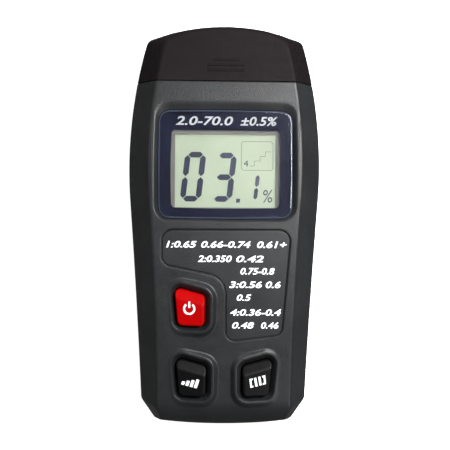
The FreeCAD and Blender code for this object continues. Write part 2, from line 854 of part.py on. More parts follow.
def main_board():
    """The circuit board: wide behind the display, narrow beside the battery bay."""
    neck = "board_neck_half"
    wide = "board_half"
    right = [(neck, "board_foot"), (neck, "board_neck_at"), (wide, "board_neck_at"), (wide, "board_top")]
    left = [("-" + x, y) for x, y in reversed(right)]
    board = sketched("main_board", right + left, "board_low", "board_high")
    holes = board_bars("board_hole", "board_hole", "board_low - 1", "board_high + 1")
    node("main_board", cut("main_board", board, holes))


def component(label, x, y, deep, round_off=None):
    """A block soldered to the back of the board."""
    body = sketched(label, rectangle(x, y), f"board_low - {deep}", "board_low", round_off)
    return node(label, body)


def components():
    """Controller, amplifier, capacitors, crystal, trimmer and the row of resistors."""
    component("controller_chip", ("-10", "0"), ("16", "26"), "1.6")
    component("amplifier_chip", ("9", "13"), ("26", "31"), "1.5")
    component("crystal", ("-19", "-9"), ("7", "11.5"), "3.5", "2")
    component("trimmer", ("-20", "-13.5"), ("24", "30.5"), "4.8", "0.4")
    cans = [
        cylinder("capacitor", "2.5", (x, y, "board_low - 5.5"), "board_low")
        for x, y in (("15", "10"), ("15", "17"), ("6", "8"))
    ]
    node("capacitors", group("capacitors", cans))
    chips = []
    for step in range(6):
        span = (f"-8 + {step} * 2.6", f"-6.8 + {step} * 2.6")
        chips.append(box("resistor", span, ("31", "33"), ("board_low - 0.5", "board_low")))
    node("resistors", group("resistors", chips))


main_board()
components()


# ---------------------------------------------------------------- probe

def probe_block():
    """The plastic plug that holds the two sockets and is trapped in the end wall."""
    parts = []
    steps = (
        ("flange", d.flange_inset, "flange_at", "end_wall_at - 0.2"),
        ("neck", d.neck_inset, "end_wall_at - 0.2", "case_end + 0.1"),
        ("spigot", d.spigot_inset, "case_end + 0.1", "step_at"),
        ("step", d.step_inset, "step_at", "spigot_end"),
    )
    for name, inset, low, high in steps:
        span = box(f"probe_{name}_span", ("-40", "40"), (low, high), ("-5", "40"))
        form = feature(f"probe_{name}_form", case_form(inset))
        parts.append(common(f"probe_{name}", form, span))
    bores = [
        cylinder("socket_hole", "socket_radius", (side + "probe_x", "40", "probe_z"), "60", "y")
        for side in ("", "-")
    ]
    node("probe_head", cut("probe_head", fuse("probe_whole", parts), bores))


def pin_set(hand, side):
    """One socket and the hexagon-headed needle that is screwed into it."""
    x = side + "probe_x"
    shell = cylinder(hand + "_barrel", "socket_radius", (x, "socket_back", "probe_z"), "socket_end", "y")
    bore = cylinder(hand + "_bore", "socket_bore", (x, "pin_back - 0.5", "probe_z"), "60", "y")
    node("socket_" + hand, cut("socket_" + hand, shell, [bore]))
    shank = cylinder(hand + "_shank", "pin_shank", (x, "pin_back", "probe_z"), "hex_low + 0.1", "y")
    needle = cylinder(hand + "_needle", "needle_radius", (x, "hex_high - 0.1", "probe_z"), "needle_end", "y")
    collar = doc.addObject("Part::Prism", hand + "_hexagon")
    collar.Polygon = 6
    collar.Placement = Placement(V(), Rotation(V(1, 0, 0), -90))
    bind(collar, "Circumradius", "hex_radius")
    bind(collar, "Height", "hex_high - hex_low")
    point = doc.addObject("Part::Cone", hand + "_point")
    point.Placement = Placement(V(), Rotation(V(1, 0, 0), -90))
    bind(point, "Radius1", "needle_radius")
    bind(point, "Radius2", "point_radius")
    bind(point, "Height", "needle_tip - needle_end")
    for item, low in ((collar, "hex_low"), (point, "needle_end")):
        bind(item, "Placement.Base.x", x)
        bind(item, "Placement.Base.y", low)
        bind(item, "Placement.Base.z", "probe_z")
    node("pin_" + hand, fuse("pin_" + hand, [shank, collar, needle, point]))


def wire(label, spots):
    """A round wire along straight runs joined by tangent arcs."""
    bend = d.wire_bend
    pieces = []
    start = spots[0]
    for before, corner, after in zip(spots, spots[1:], spots[2:]):
        enter = corner + (before - corner).normalize() * bend
        leave = corner + (after - corner).normalize() * bend
        hub = enter + leave - corner
        crest = hub + (corner - hub).normalize() * bend
        pieces.append(Part.LineSegment(start, enter).toShape())
        pieces.append(Part.Arc(enter, crest, leave).toShape())
        start = leave
    pieces.append(Part.LineSegment(start, spots[-1]).toShape())
    spine = Part.Wire(pieces)
    ring = Part.Wire([Part.makeCircle(d.wire_radius, spots[0], spots[1] - spots[0])])
    node(label, feature(label, spine.makePipeShell([ring], True, False)))


probe_block()
for hand_name, hand_side in (("left", -1), ("right", 1)):
    pin_set(hand_name, "-" if hand_side < 0 else "")
    lug_x = hand_side * d.probe_x
    wire("electrode_lead_" + hand_name, [
        V(lug_x, d.socket_back, d.probe_z),
        V(lug_x, d.probe_lead_turn, d.probe_z),
        V(lug_x, d.probe_lead_turn, d.board_low),
    ])
    pole_x = hand_side * d.terminal_x
    wire("battery_lead_" + ("black" if hand_side < 0 else "red"), [
        V(pole_x, d.snap_high, d.battery_lead_z),
        V(pole_x, d.battery_lead_turn, d.battery_lead_z),
        V(pole_x, d.battery_lead_turn, d.board_low),
    ])


# ---------------------------------------------------------------- battery

def battery():
    """The 9 V block, its terminals, the snap plate with its contacts and the end pad."""
    block = sketched(
        "battery",
        rectangle(("-battery_half", "battery_half"), ("battery_low", "battery_high")),
        "battery_back", "battery_front",
    )
    doc.recompute()
    long_edges = [
        (index, d.battery_round, d.battery_round) for index, edge in enumerate(block.Shape.Edges, start=1)
        if abs(edge.tangentAt(edge.FirstParameter).y) > 0.99
    ]
    case = doc.addObject("Part::Fillet", "battery_case")
    case.Base = block
    case.Edges = long_edges
    node("battery", case)
    left = "-terminal_x"
    low = "battery_high"
    end = "terminal_end"
    stud = cylinder("battery_stud", "stud_radius", (left, low, "terminal_z"), end, "y")
    cup = cylinder("battery_cup", "terminal_radius", ("terminal_x", low, "terminal_z"), end, "y")
    cup_hole = cylinder("battery_cup_hole", "cup_radius", ("terminal_x", low, "terminal_z"), "0", "y")
    node("battery_terminals", group("battery_terminals", [stud, cut("battery_ring", cup, [cup_hole])]))
    plate = box(
        "snap_plate", ("-snap_half", "snap_half"), ("snap_low", "snap_high"), ("snap_back", "snap_front")
    )
    node("battery_snap", plate)
    ring_at = (left, "battery_high + 0.3", "terminal_z")
    ring = cylinder("snap_ring", "terminal_radius", ring_at, "snap_low", "y")
    ring_hole = cylinder("snap_ring_hole", "cup_radius", (left, low, "terminal_z"), "snap_low", "y")
    peg_at = ("terminal_x", "battery_high + 0.8", "terminal_z")
    peg = cylinder("snap_peg", "stud_radius", peg_at, "snap_low", "y")
    node("snap_contacts", group("snap_contacts", [cut("snap_cup", ring, [ring_hole]), peg]))
    cushion = rectangle(("-pad_half", "pad_half"), ("bay_low", "battery_low"))
    pad = sketched("battery_pad", cushion, "pad_back", "pad_front")
    node("battery_pad", pad)


battery()


# ---------------------------------------------------------------- screws

def screw(name, x, y, seat, tip, head, shank, head_high):
    """A pan-head screw driven upward, its head below the height called seat."""
    bar = cylinder(name + "_shank", shank, (x, y, f"{seat} - 0.1"), tip)
    rim = cylinder(name + "_rim", head, (x, y, f"{seat} - {head_high} * 0.6"), seat)
    crown = doc.addObject("Part::Cone", name + "_crown")
    bind(crown, "Radius1", f"{head} * 0.65")
    bind(crown, "Radius2", head)
    bind(crown, "Height", f"{head_high} * 0.4")
    for axis, value in zip("xyz", (x, y, f"{seat} - {head_high}")):
        bind(crown, "Placement.Base." + axis, value)
    slots = []
    for long_x, long_y in ((f"{head} * 0.55", "0.25"), ("0.25", f"{head} * 0.55")):
        slots.append(box(
            name + "_slot",
            (f"{x} - {long_x}", f"{x} + {long_x}"), (f"{y} - {long_y}", f"{y} + {long_y}"),
            (f"{seat} - {head_high} - 1", f"{seat} - {head_high} * 0.45"),
        ))
    return cut(name, fuse(name + "_blank", [bar, rim, crown]), slots)


def screw_group(label, places, sizes):
    """Four equal screws in one node."""
    x, y, foot_x, foot_y = places
    screws = []
    for side in ("", "-"):
        screws.append(screw(label + "_top", side + x, y, *sizes))
        screws.append(screw(label + "_foot", side + foot_x, foot_y, *sizes))
    node(label, group(label, screws))


screw_group(
    "case_screws",
    ("case_screw_x", "case_screw_top", "case_screw_foot_x", "case_screw_foot"),
    ("screw_seat", "screw_tip", "screw_head", "screw_shank", "screw_head_high"),
)
screw_group(
    "board_screws",
    ("board_screw_x", "board_screw_y", "board_screw_foot_x", "board_screw_foot_y"),
    ("board_low", "board_screw_tip", "board_head", "board_shank", "board_head_high"),
)


# ---------------------------------------------------------------- check and export

doc.recompute()
for item in doc.Objects:
    if "Invalid" in item.State or "Error" in item.State:
        raise RuntimeError(f"{item.Name} failed: {item.State}")
for label, item in nodes.items():
    if item.Shape.isNull() or not item.Shape.isValid():
        raise RuntimeError(f"{label} has no valid shape")
os.makedirs("parts", exist_ok=True)
for label, item in nodes.items():
    item.Shape.exportStep(f"parts/{label}.step")
    print(label, len(item.Shape.Solids), round(item.Shape.Volume, 1))
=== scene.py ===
"""Looks of the two-pin moisture meter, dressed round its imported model.

Shapes are worked out in millimetres as numpy surfaces and written to meshes in metres.
+X is the meter's right, +Y is toward its pins and +Z comes out of its display.
"""

import logging
import math
from collections.abc import Callable, Sequence
from dataclasses import dataclass
from enum import Enum

import bmesh
import bpy
import numpy as np
from mathutils import Matrix, Vector


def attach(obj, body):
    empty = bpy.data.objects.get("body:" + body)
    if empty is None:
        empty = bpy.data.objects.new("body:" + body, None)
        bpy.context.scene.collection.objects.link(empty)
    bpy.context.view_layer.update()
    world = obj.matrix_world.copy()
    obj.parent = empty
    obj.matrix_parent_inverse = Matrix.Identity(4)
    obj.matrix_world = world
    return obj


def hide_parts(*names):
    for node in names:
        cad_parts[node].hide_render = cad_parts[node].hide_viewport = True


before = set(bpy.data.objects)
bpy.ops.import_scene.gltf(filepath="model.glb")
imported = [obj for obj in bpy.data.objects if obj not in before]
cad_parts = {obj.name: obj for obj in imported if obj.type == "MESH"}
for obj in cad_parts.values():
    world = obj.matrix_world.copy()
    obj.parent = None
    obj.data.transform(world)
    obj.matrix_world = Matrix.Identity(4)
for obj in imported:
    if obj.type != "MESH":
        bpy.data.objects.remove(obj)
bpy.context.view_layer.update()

MM = 0.001
Array = np.ndarray
Patch = tuple[Array, Array]
Pair = tuple[float, float]
Corner = tuple[float, float, float]
Sides = tuple[float, float, float, float]
Place = tuple[float, float, float]
Colour = tuple[float, float, float]
CLOUD = 14.0
SWELL = 9.0
log = logging.getLogger("moisture_meter")


# ---------------------------------------------------------------- plane geometry

class Outline:
    """A closed counter-clockwise loop of points with its outward normals."""

    def __init__(self, points: Array) -> None:
        """Keep the points, and work out each normal across its two neighbours.

        Args:
            points: (n, 2) points of the loop.
        """
        self.points = points
        run = np.roll(points, -1, axis=0) - np.roll(points, 1, axis=0)
        self.normals = np.stack([run[:, 1], -run[:, 0]], 1) / np.hypot(*run.T)[:, None]

    @classmethod
    def rounded(cls, corners: Sequence[Corner], sides: Sequence[int], arc: int = 8) -> "Outline":
        """Round the corners of a polygon and divide its sides.

        Each corner's arc is spun about the hub that lies on the corner's bisector, and
        each side between two arcs is divided evenly.

        Args:
            corners: (x, y, radius) of each vertex, counter-clockwise.
            sides: How many steps the side that leaves each vertex is divided into.
            arc: How many steps each arc is divided into.

        Returns:
            The outline, with the same number of points for the same sides and arc.
        """
        spots = np.array([corner[:2] for corner in corners], float)
        arcs = []
        for index, (_, _, radius) in enumerate(corners):
            spot = spots[index]
            back = spots[index - 1] - spot
            ahead = spots[(index + 1) % len(spots)] - spot
            back, ahead = back / np.hypot(*back), ahead / np.hypot(*ahead)
            half = math.acos(float(back @ ahead)) / 2
            start = spot + back * radius / math.tan(half)
            end = spot + ahead * radius / math.tan(half)
            way = (back + ahead) / np.hypot(*(back + ahead))
            hub = spot + way * radius / math.sin(half)
            share = np.linspace(0, 1, arc + 1)[:, None]
            sweep = math.pi - 2 * half
            first, last = start - hub, end - hub
            ray = first * np.sin((1 - share) * sweep) + last * np.sin(share * sweep)
            arcs.append(hub + ray / math.sin(sweep))
        pieces = []
        for index, steps in enumerate(sides):
            share = np.linspace(0, 1, steps + 1)[1:-1, None]
            first, last = arcs[index][-1], arcs[(index + 1) % len(arcs)][0]
            pieces += [arcs[index], first * (1 - share) + last * share]
        return cls(np.concatenate(pieces))

    def grown(self, distance: float) -> Array:
        """The outline's points moved outward along their normals."""
        return self.points + self.normals * distance

    def nearest(self, x: Array, y: Array) -> tuple[Array, Array, Array]:
        """Signed distance (positive outside) and the nearest spot of the outline.

        A side's nearest spot is the clamped projection on it, and the sign comes from
        how often a level ray crosses the outline.

        Args:
            x: Plan coordinates, any shape.
            y: The same for the other axis.

        Returns:
            The distance and the nearest spot's x and y, in the shape of x.
        """
        spot = np.stack([x.ravel(), y.ravel()], 1)
        best = np.full(len(spot), 1e9)
        near = np.zeros_like(spot)
        inside = np.zeros(len(spot), bool)
        for start, end in zip(self.points, np.roll(self.points, -1, axis=0)):
            side = end - start
            share = np.clip((spot - start) @ side / float(side @ side), 0, 1)
            foot = start + share[:, None] * side
            gap = np.hypot(*(spot - foot).T)
            closer = gap < best
            best = np.where(closer, gap, best)
            near = np.where(closer[:, None], foot, near)
            spans = (start[1] > spot[:, 1]) != (end[1] > spot[:, 1])
            reach = side[0] * (spot[:, 1] - start[1]) / (side[1] or 1e-9) + start[0]
            inside ^= spans & (spot[:, 0] < reach)
        signed = np.where(inside, -best, best)
        return tuple(part.reshape(x.shape) for part in (signed, near[:, 0], near[:, 1]))


def soft_max(first: Array, second: Array, width: float) -> Array:
    """The larger of two values, blended by a parabola where they differ by under width."""
    share = np.clip(1 - np.abs(first - second) / width, 0, 1)
    return np.maximum(first, second) + share**2 * width / 4


def soft_min(first: Array, second: Array, width: float) -> Array:
    """The smaller of two values, blended by a parabola where they differ by under width."""
    return -soft_max(-first, -second, width)


def quarter_round(depth: Array, radius: float) -> Array:
    """How far an edge's quarter circle lies below the face, at a depth in from its wall."""
    short = np.clip(radius - depth, 0, radius)
    return radius - np.sqrt(radius**2 - short**2)


def graded(*runs: Pair) -> Array:
    """Coordinates from one limit to the next, each stretch at about its own spacing.

    Args:
        runs: (limit, spacing up to the next limit) pairs; the last spacing is unused.

    Returns:
        The coordinates, with both ends.
    """
    lines = [
        np.linspace(low, high, max(round((high - low) / gap), 1), endpoint=False)
        for (low, gap), (high, _) in zip(runs, runs[1:])
    ]
    return np.concatenate(lines + [np.array([runs[-1][0]])])


# ---------------------------------------------------------------- meshes

def make_mesh(name: str, patches: Sequence[Patch], smooth: bool = True) -> bpy.types.Object:
    """Write patches of vertices in millimetres and quads to a new object at the origin.

    Args:
        name: The piece's name.
        patches: (vertices, quads) pairs, each quad anticlockwise from outside.
        smooth: Whether the faces are shaded as one curved surface.

    Returns:
        The new object, linked to the scene.
    """
    starts = np.cumsum([0] + [len(verts) for verts, _ in patches[:-1]])
    verts = np.concatenate([verts for verts, _ in patches])
    quads = np.concatenate([quads + start for (_, quads), start in zip(patches, starts)])
    mesh = bpy.data.meshes.new(name)
    mesh.vertices.add(len(verts))
    mesh.vertices.foreach_set("co", (verts * MM).astype(np.float32).ravel())
    mesh.loops.add(quads.size)
    mesh.loops.foreach_set("vertex_index", quads.astype(np.int32).ravel())
    mesh.polygons.add(len(quads))
    mesh.polygons.foreach_set("loop_start", np.arange(0, quads.size, 4, dtype=np.int32))
    mesh.polygons.foreach_set("use_smooth", np.full(len(quads), smooth))
    mesh.update(calc_edges=True)
    item = bpy.data.objects.new(name, mesh)
    bpy.context.scene.collection.objects.link(item)
    return item


def grid_quads(rows: int, cols: int, wrap: bool = False) -> Array:
    """Vertex numbers of the quads of a grid that is stored row by row.

    Args:
        rows: How many rows it has.
        cols: How many columns.
        wrap: Whether the last column joins the first.

    Returns:
        (n, 4) vertex numbers.
    """
    number = np.arange(rows * cols).reshape(rows, cols)
    if wrap:
        number = np.hstack([number, number[:, :1]])
    corners = (number[:-1, :-1], number[:-1, 1:], number[1:, 1:], number[1:, :-1])
    return np.stack([corner.ravel() for corner in corners], 1)


def ring(points: Array, level: float | Array) -> Array:
    """A loop of plan points at one height, or at a height for each point."""
    return np.column_stack([points, np.zeros(len(points)) + level])


def loft(loops: Sequence[Array], filled: bool = True) -> Patch:
    """The skin through equal loops of points, its end loops closed by fans if filled.

    A fan takes the loop's points two steps at a time, so a loop has an even count.

    Args:
        loops: (n, 3) loops in millimetres, each anticlockwise seen from the last one.
        filled: Whether the first and last loop are closed.

    Returns:
        The skin's vertices and quads.
    """
    count = len(loops[0])
    verts = np.concatenate(loops)
    quads = grid_quads(len(loops), count, wrap=True)
    if not filled:
        return verts, quads
    first = np.arange(0, count, 2)
    after, last = first + 1, (first + 2) % count
    hub = np.full_like(first, len(verts))
    top = len(verts) - count
    floor = np.stack([hub, last, after, first], 1)
    roof = np.stack([hub + 1, first + top, after + top, last + top], 1)
    hubs = np.stack([loops[0].mean(0), loops[-1].mean(0)])
    return np.vstack([verts, hubs]), np.vstack([quads, floor, roof])


def prism(points: Array, low: float | Array, high: float | Array) -> Patch:
    """A straight block on a flat loop of an even number of points."""
    return loft([ring(points, low), ring(points, high)])


def merge(item: bpy.types.Object, gap: float = 0.002) -> None:
    """Join vertices that lie close together, and drop those that no face uses.

    Args:
        item: The piece.
        gap: How far apart joined vertices may be, in millimetres.
    """
    work = bmesh.new()
    work.from_mesh(item.data)
    bmesh.ops.remove_doubles(work, verts=work.verts, dist=gap * MM)
    loose = [vert for vert in work.verts if not vert.link_faces]
    bmesh.ops.delete(work, geom=loose, context="VERTS")
    work.to_mesh(item.data)
    work.free()
    item.data.update()


def thicken(item: bpy.types.Object, depth: float) -> None:
    """Give a skin a wall behind it, with crisp rims where it ends.

    An edge of the skin is open if only one face's corner starts on it.

    Args:
        item: The skin.
        depth: How thick the wall is, in millimetres.
    """
    mesh = item.data
    edges = np.zeros(len(mesh.loops), np.int32)
    mesh.loops.foreach_get("edge_index", edges)
    crisp = mesh.attributes.new("sharp_edge", "BOOLEAN", "EDGE")
    crisp.data.foreach_set("value", np.bincount(edges, minlength=len(mesh.edges)) == 1)
    wall = item.modifiers.new("wall", "SOLIDIFY")
    wall.thickness = depth * MM
    wall.offset = -1.0


def fit_out(item: bpy.types.Object, body: str, finish: "Finish", *nodes: str) -> None:
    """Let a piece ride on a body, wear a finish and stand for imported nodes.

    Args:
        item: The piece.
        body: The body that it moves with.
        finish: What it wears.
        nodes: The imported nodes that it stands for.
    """
    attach(item, body)
    item.data.materials.clear()
    item.data.materials.append(finish.material())
    if nodes:
        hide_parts(*nodes)
    log.info("built %s: %d faces on %s", item.name, len(item.data.polygons), body)


# ---------------------------------------------------------------- finishes

class Grain(Enum):
    """The pattern that a finish shows up close."""

    MOULDED = "moulded"
    SATIN = "satin"
    BRUSHED = "brushed"
    FOAM = "foam"
    BOARD = "board"
    WOVEN = "woven"


def tint(red: float, green: float, blue: float) -> Colour:
    """Linear light of an everyday colour, by the standard screen curve.

    Args:
        red: From 0 to 255.
        green: From 0 to 255.
        blue: From 0 to 255.

    Returns:
        The colour, each part from 0 to 1.
    """
    share = np.array([red, green, blue]) / 255
    curve = np.where(share <= 0.04045, share / 12.92, ((share + 0.055) / 1.055) ** 2.4)
    return tuple(float(value) for value in curve)


class Desk:
    """A material on the bench: adds nodes and joins their sockets."""

    def __init__(self, name: str) -> None:
        """Start a material with its shader, output and object coordinates.

        Args:
            name: The material's name.
        """
        self.item = bpy.data.materials.new(name)
        self.item.use_nodes = True
        self.tree = self.item.node_tree
        self.tree.nodes.clear()
        self.shader = self.node("ShaderNodeBsdfPrincipled", {})
        self.node("ShaderNodeOutputMaterial", {"Surface": self.shader.outputs[0]})
        self.place = self.node("ShaderNodeTexCoord", {}).outputs["Object"]

    def node(self, kind: str, inputs: dict, **settings: object) -> bpy.types.Node:
        """Add a node.

        Args:
            kind: The node's type.
            inputs: What each input is set to or joined to.
            settings: Its other properties.

        Returns:
            The node.
        """
        item = self.tree.nodes.new(kind)
        for name, value in settings.items():
            setattr(item, name, value)
        for name, value in inputs.items():
            self.feed(item.inputs[name], value)
        return item

    def feed(self, socket: bpy.types.NodeSocket, value: object) -> None:
        """Join a socket to another one, or give it a plain value.

        Args:
            socket: The input.
            value: An output, a colour or a number.
        """
        if isinstance(value, bpy.types.NodeSocket):
            self.tree.links.new(value, socket)
        elif isinstance(value, tuple) and len(value) == 3 and socket.type == "RGBA":
            socket.default_value = (*value, 1.0)
        else:
            socket.default_value = value

    def noise(self, size: float, detail: float = 2.0,
              stretch: Place = (1, 1, 1)) -> bpy.types.NodeSocket:
        """Cloudy noise over the object's own coordinates.

        Args:
            size: About how wide its blots are, in millimetres.
            detail: How many finer layers it has.
            stretch: How much finer it is along each axis.

        Returns:
            The noise's value.
        """
        scale = self.node("ShaderNodeMapping", {"Vector": self.place, "Scale": stretch})
        inputs = {"Vector": scale.outputs[0], "Scale": 1 / (size * MM), "Detail": detail}
        return self.node("ShaderNodeTexNoise", inputs).outputs[0]

    def spread(self, value: bpy.types.NodeSocket, low: float, high: float,
               to_low: float, to_high: float) -> bpy.types.NodeSocket:
        """Map the stretch from low to high onto the stretch from to_low to to_high."""
        inputs = {0: value, 1: low, 2: high, 3: to_low, 4: to_high}
        return self.node("ShaderNodeMapRange", inputs).outputs[0]

    def mix(self, share: bpy.types.NodeSocket, first: object,
            second: object) -> bpy.types.NodeSocket:
        """Blend two colours by a share."""
        inputs = {0: share, 6: first, 7: second}
        return self.node("ShaderNodeMix", inputs, data_type="RGBA").outputs[2]

    def bump(self, height: bpy.types.NodeSocket, depth: float,
             under: bpy.types.NodeSocket | None = None) -> bpy.types.NodeSocket:
        """Relief of the surface.

        Args:
            height: The relief's pattern, from 0 to 1.
            depth: How deep it is, in millimetres.
            under: Another relief that it lies on.

        Returns:
            The relief's normal.
        """
        inputs = {"Height": height, "Distance": depth * MM, "Strength": 1.0}
        if under is not None:
            inputs["Normal"] = under
        return self.node("ShaderNodeBump", inputs).outputs[0]


@dataclass(frozen=True)
class Finish:
    """How one kind of surface looks: its colour, gloss and grain.

    The grain's size and relief are in millimetres. The drift is how far the colour
    strays, and an extra finish is one that the record has no slot for.
    """

    slot: str
    colour: Colour
    rough: float = 0.5
    grain: Grain = Grain.SATIN
    grain_size: float = 0.5
    relief: float = 0.01
    drift: float = 0.25
    metal: float = 0.0
    clear: float = 0.0
    refraction: float = 1.5
    coat: float = 0.0
    specular: float = 0.5
    # glow: emission strength. It makes a surface glow as painted light, though it is no lamp.
    glow: float = 0.0
    extra: bool = False

    def material(self) -> bpy.types.Material:
        """The finish's material, made once and then shared.

        Its colour drifts between two tones in wide clouds and has small lighter flecks,
        its gloss strays by an eighth, and its grain lies on a slow swell.

        Returns:
            The material.
        """
        found = bpy.data.materials.get("finish_" + self.slot)
        if found:
            return found
        desk = Desk("finish_" + self.slot)
        for name, value in (("Metallic", self.metal), ("IOR", self.refraction),
                            ("Coat Weight", self.coat), ("Transmission Weight", self.clear),
                            ("Specular IOR Level", self.specular), ("Coat Roughness", 0.12),
                            ("Emission Strength", self.glow)):
            desk.shader.inputs[name].default_value = value
        grain = self.pattern(desk)
        cloud = desk.noise(CLOUD, 3.0)
        fleck = desk.noise(self.grain_size * 1.7, 2.0)
        darker = tuple(value * (1 - self.drift) for value in self.colour)
        lighter = tuple(min(value * (1 + self.drift), 1.0) for value in self.colour)
        base = desk.mix(desk.spread(cloud, 0.35, 0.65, 0.0, 1.0), darker, lighter)
        speck = tuple(min(value * (1 + 3 * self.drift), 1.0) for value in self.colour)
        base = desk.mix(desk.spread(fleck, 0.62, 0.78, 0.0, 0.6), base, speck)
        desk.feed(desk.shader.inputs["Base Color"], base)
        # The emission takes the finish's own colour, so any glow is painted light in that colour.
        desk.feed(desk.shader.inputs["Emission Color"], self.colour)
        gloss = desk.spread(desk.noise(self.grain_size * 6, 3.0), 0.3, 0.7, self.rough * 0.88,
                            min(self.rough * 1.12, 1.0))
        desk.feed(desk.shader.inputs["Roughness"], gloss)
        swell = desk.bump(desk.noise(SWELL, 1.0), self.relief * 1.5)
        desk.feed(desk.shader.inputs["Normal"], desk.bump(grain, self.relief, swell))
        return desk.item

    def pattern(self, desk: Desk) -> bpy.types.NodeSocket:
        """The relief of the finish's grain.

        Args:
            desk: The material that the pattern's nodes go to.

        Returns:
            The height, from 0 to 1.
        """
        size = self.grain_size
        if self.grain is Grain.BRUSHED:
            return desk.noise(size, 4.0, (1.0, 0.06, 1.0))
        if self.grain is Grain.FOAM:
            inputs = {"Vector": desk.place, "Scale": 1 / (size * MM)}
            return desk.node("ShaderNodeTexVoronoi", inputs).outputs[0]
        if self.grain is Grain.WOVEN:
            inputs = {"Vector": desk.place, "Scale": 0.3 / (size * MM)}
            return desk.node("ShaderNodeTexWave", inputs).outputs[0]
        if self.grain is Grain.BOARD:
            return desk.spread(desk.noise(size, 0.0, (1.0, 1.0, 0.2)), 0.45, 0.55, 0.0, 1.0)
        if self.grain is Grain.MOULDED:
            return desk.spread(desk.noise(size, 3.0), 0.3, 0.7, 0.0, 1.0)
        return desk.noise(size, 2.0)


# ---------------------------------------------------------------- the case's form

@dataclass(frozen=True)
class CaseForm:
    """Sizes of the meter's outside, as heights over the plan, in millimetres."""

    half_length: float = 69.0
    wide_half: float = 33.33
    widest_at: float = 20.0
    flank_radius: float = 160.0
    waist_at: float = 8.0
    foot_half: float = 28.6
    foot_at: float = -60.4
    toe_half: float = 24.0
    toe_at: float = -67.0
    hollow: float = 0.217
    face_top: float = 30.0
    face_radius: float = 1100.0
    face_mid: float = 10.0
    roll_at: float = -60.0
    roll_radius: float = 11.0
    facet_low: float = 19.0
    facet_slope: float = 0.633
    chamfer_share: float = 0.6
    split: float = 13.1
    end: float = 49.3
    edge: float = 0.3
    toe_round: float = 1.2
    ridge_soft: float = 1.1
    row_steps: tuple[Pair, ...] = (
        (0, 0.2), (0.6, 0.4), (7.2, 0.55), (60, 0.7), (115.5, 0.3), (116.0, 0.1))
    column_steps: tuple[Pair, ...] = ((0, 0.022), (0.72, 0.0095), (0.86, 0.024), (0.975, 0.008))
    bow_fades: float = 26.0

    def flank(self, y: Array) -> Array:
        """Half-width of the plan: a circle above the waist, a hollow flank and a chamfer.

        The hollow is a parabola off the straight line from the waist to the foot.

        Args:
            y: Places along the meter.

        Returns:
            The half-width at each.
        """
        hub = self.wide_half - self.flank_radius
        high = np.sqrt(self.flank_radius**2 - (np.maximum(y, self.waist_at) - self.widest_at) ** 2)
        waist = hub + math.sqrt(self.flank_radius**2 - (self.waist_at - self.widest_at) ** 2)
        share = (y - self.foot_at) / (self.waist_at - self.foot_at)
        lower = self.foot_half + (waist - self.foot_half) * share
        lower = lower - self.hollow * 4 * share * (1 - share)
        slant = (self.foot_half - self.toe_half) / (self.foot_at - self.toe_at)
        chamfer = self.toe_half + slant * (y - self.toe_at)
        return soft_min(np.where(y >= self.waist_at, hub + high, lower), chamfer, 0.5)

    def sole(self, x: Array) -> Array:
        """The foot end's outline: a shallow bow between the two toes."""
        return -self.half_length + (self.half_length + self.toe_at) * (x / self.toe_half) ** 2

    def face(self, y: Array) -> Array:
        """The face's height: a long arch that rolls off along a circle at the foot.

        The circle's hub lies inside the arch, on the radius to the point where they meet.

        Args:
            y: Places along the meter.

        Returns:
            The height at each.
        """
        base = self.face_top - self.face_radius
        arch = base + np.sqrt(self.face_radius**2 - (y - self.face_mid) ** 2)
        tilt = math.asin((self.face_mid - self.roll_at) / self.face_radius)
        hub_y = self.roll_at + self.roll_radius * math.sin(tilt)
        hub_z = base + (self.face_radius - self.roll_radius) * math.cos(tilt)
        bend = self.roll_radius**2 - np.minimum(y - hub_y, 0) ** 2
        return np.where(y < self.roll_at, hub_z + np.sqrt(np.maximum(bend, 0)), arch)

    def height(self, x: Array, y: Array) -> Array:
        """Height of the front over a plan point.

        It is the lowest of the face, the side facets, which rise steadily in from the
        flank, the steeper toe facets, and the edge rounded over the sole. The joint
        with the cap has a small rounded edge too, which draws in face and flank alike.

        Args:
            x: Plan coordinates, any shape.
            y: The same for the other axis.

        Returns:
            The height at each, in the shape of x.
        """
        drawn = quarter_round(self.end - y, self.edge)
        inset = self.flank(np.maximum(y, self.foot_at + 0.4)) - np.abs(x) - drawn
        facet = self.facet_low + inset / self.facet_slope
        slant = math.hypot(self.foot_half - self.toe_half, self.foot_at - self.toe_at)
        across = (self.foot_half - np.abs(x)) * (self.foot_at - self.toe_at)
        along = (y - self.foot_at) * (self.foot_half - self.toe_half)
        toe = self.facet_low + (across + along) / slant / self.facet_slope / self.chamfer_share
        face = self.face(y) - drawn - quarter_round(y - self.sole(x), self.toe_round)
        return soft_min(soft_min(face, facet, self.ridge_soft), toe, self.ridge_soft)

    def lattice(self) -> tuple[Array, Array]:
        """Plan grid of the front: rows from the sole to the joint, columns across.

        A row starts on the flank at its own y and bows toward the sole, less and less
        as it leaves it. The columns crowd at the ridges and at the flanks.

        Returns:
            The x and the y of each vertex, row by row.
        """
        along = graded(*self.row_steps, (self.end - self.toe_at, 1))
        half = graded(*self.column_steps, (1, 1))
        across = np.concatenate([-half[::-1], half[1:]])
        y_side = (self.toe_at + along)[:, None]
        fade = np.clip(1 - along / self.bow_fades, 0, 1)[:, None]
        bow = (self.half_length + self.toe_at) * fade**2
        y = y_side - bow * (1 - across[None] ** 2)
        x = (self.flank(y_side) - quarter_round(self.end - y_side, self.edge)) * across[None]
        return x, y


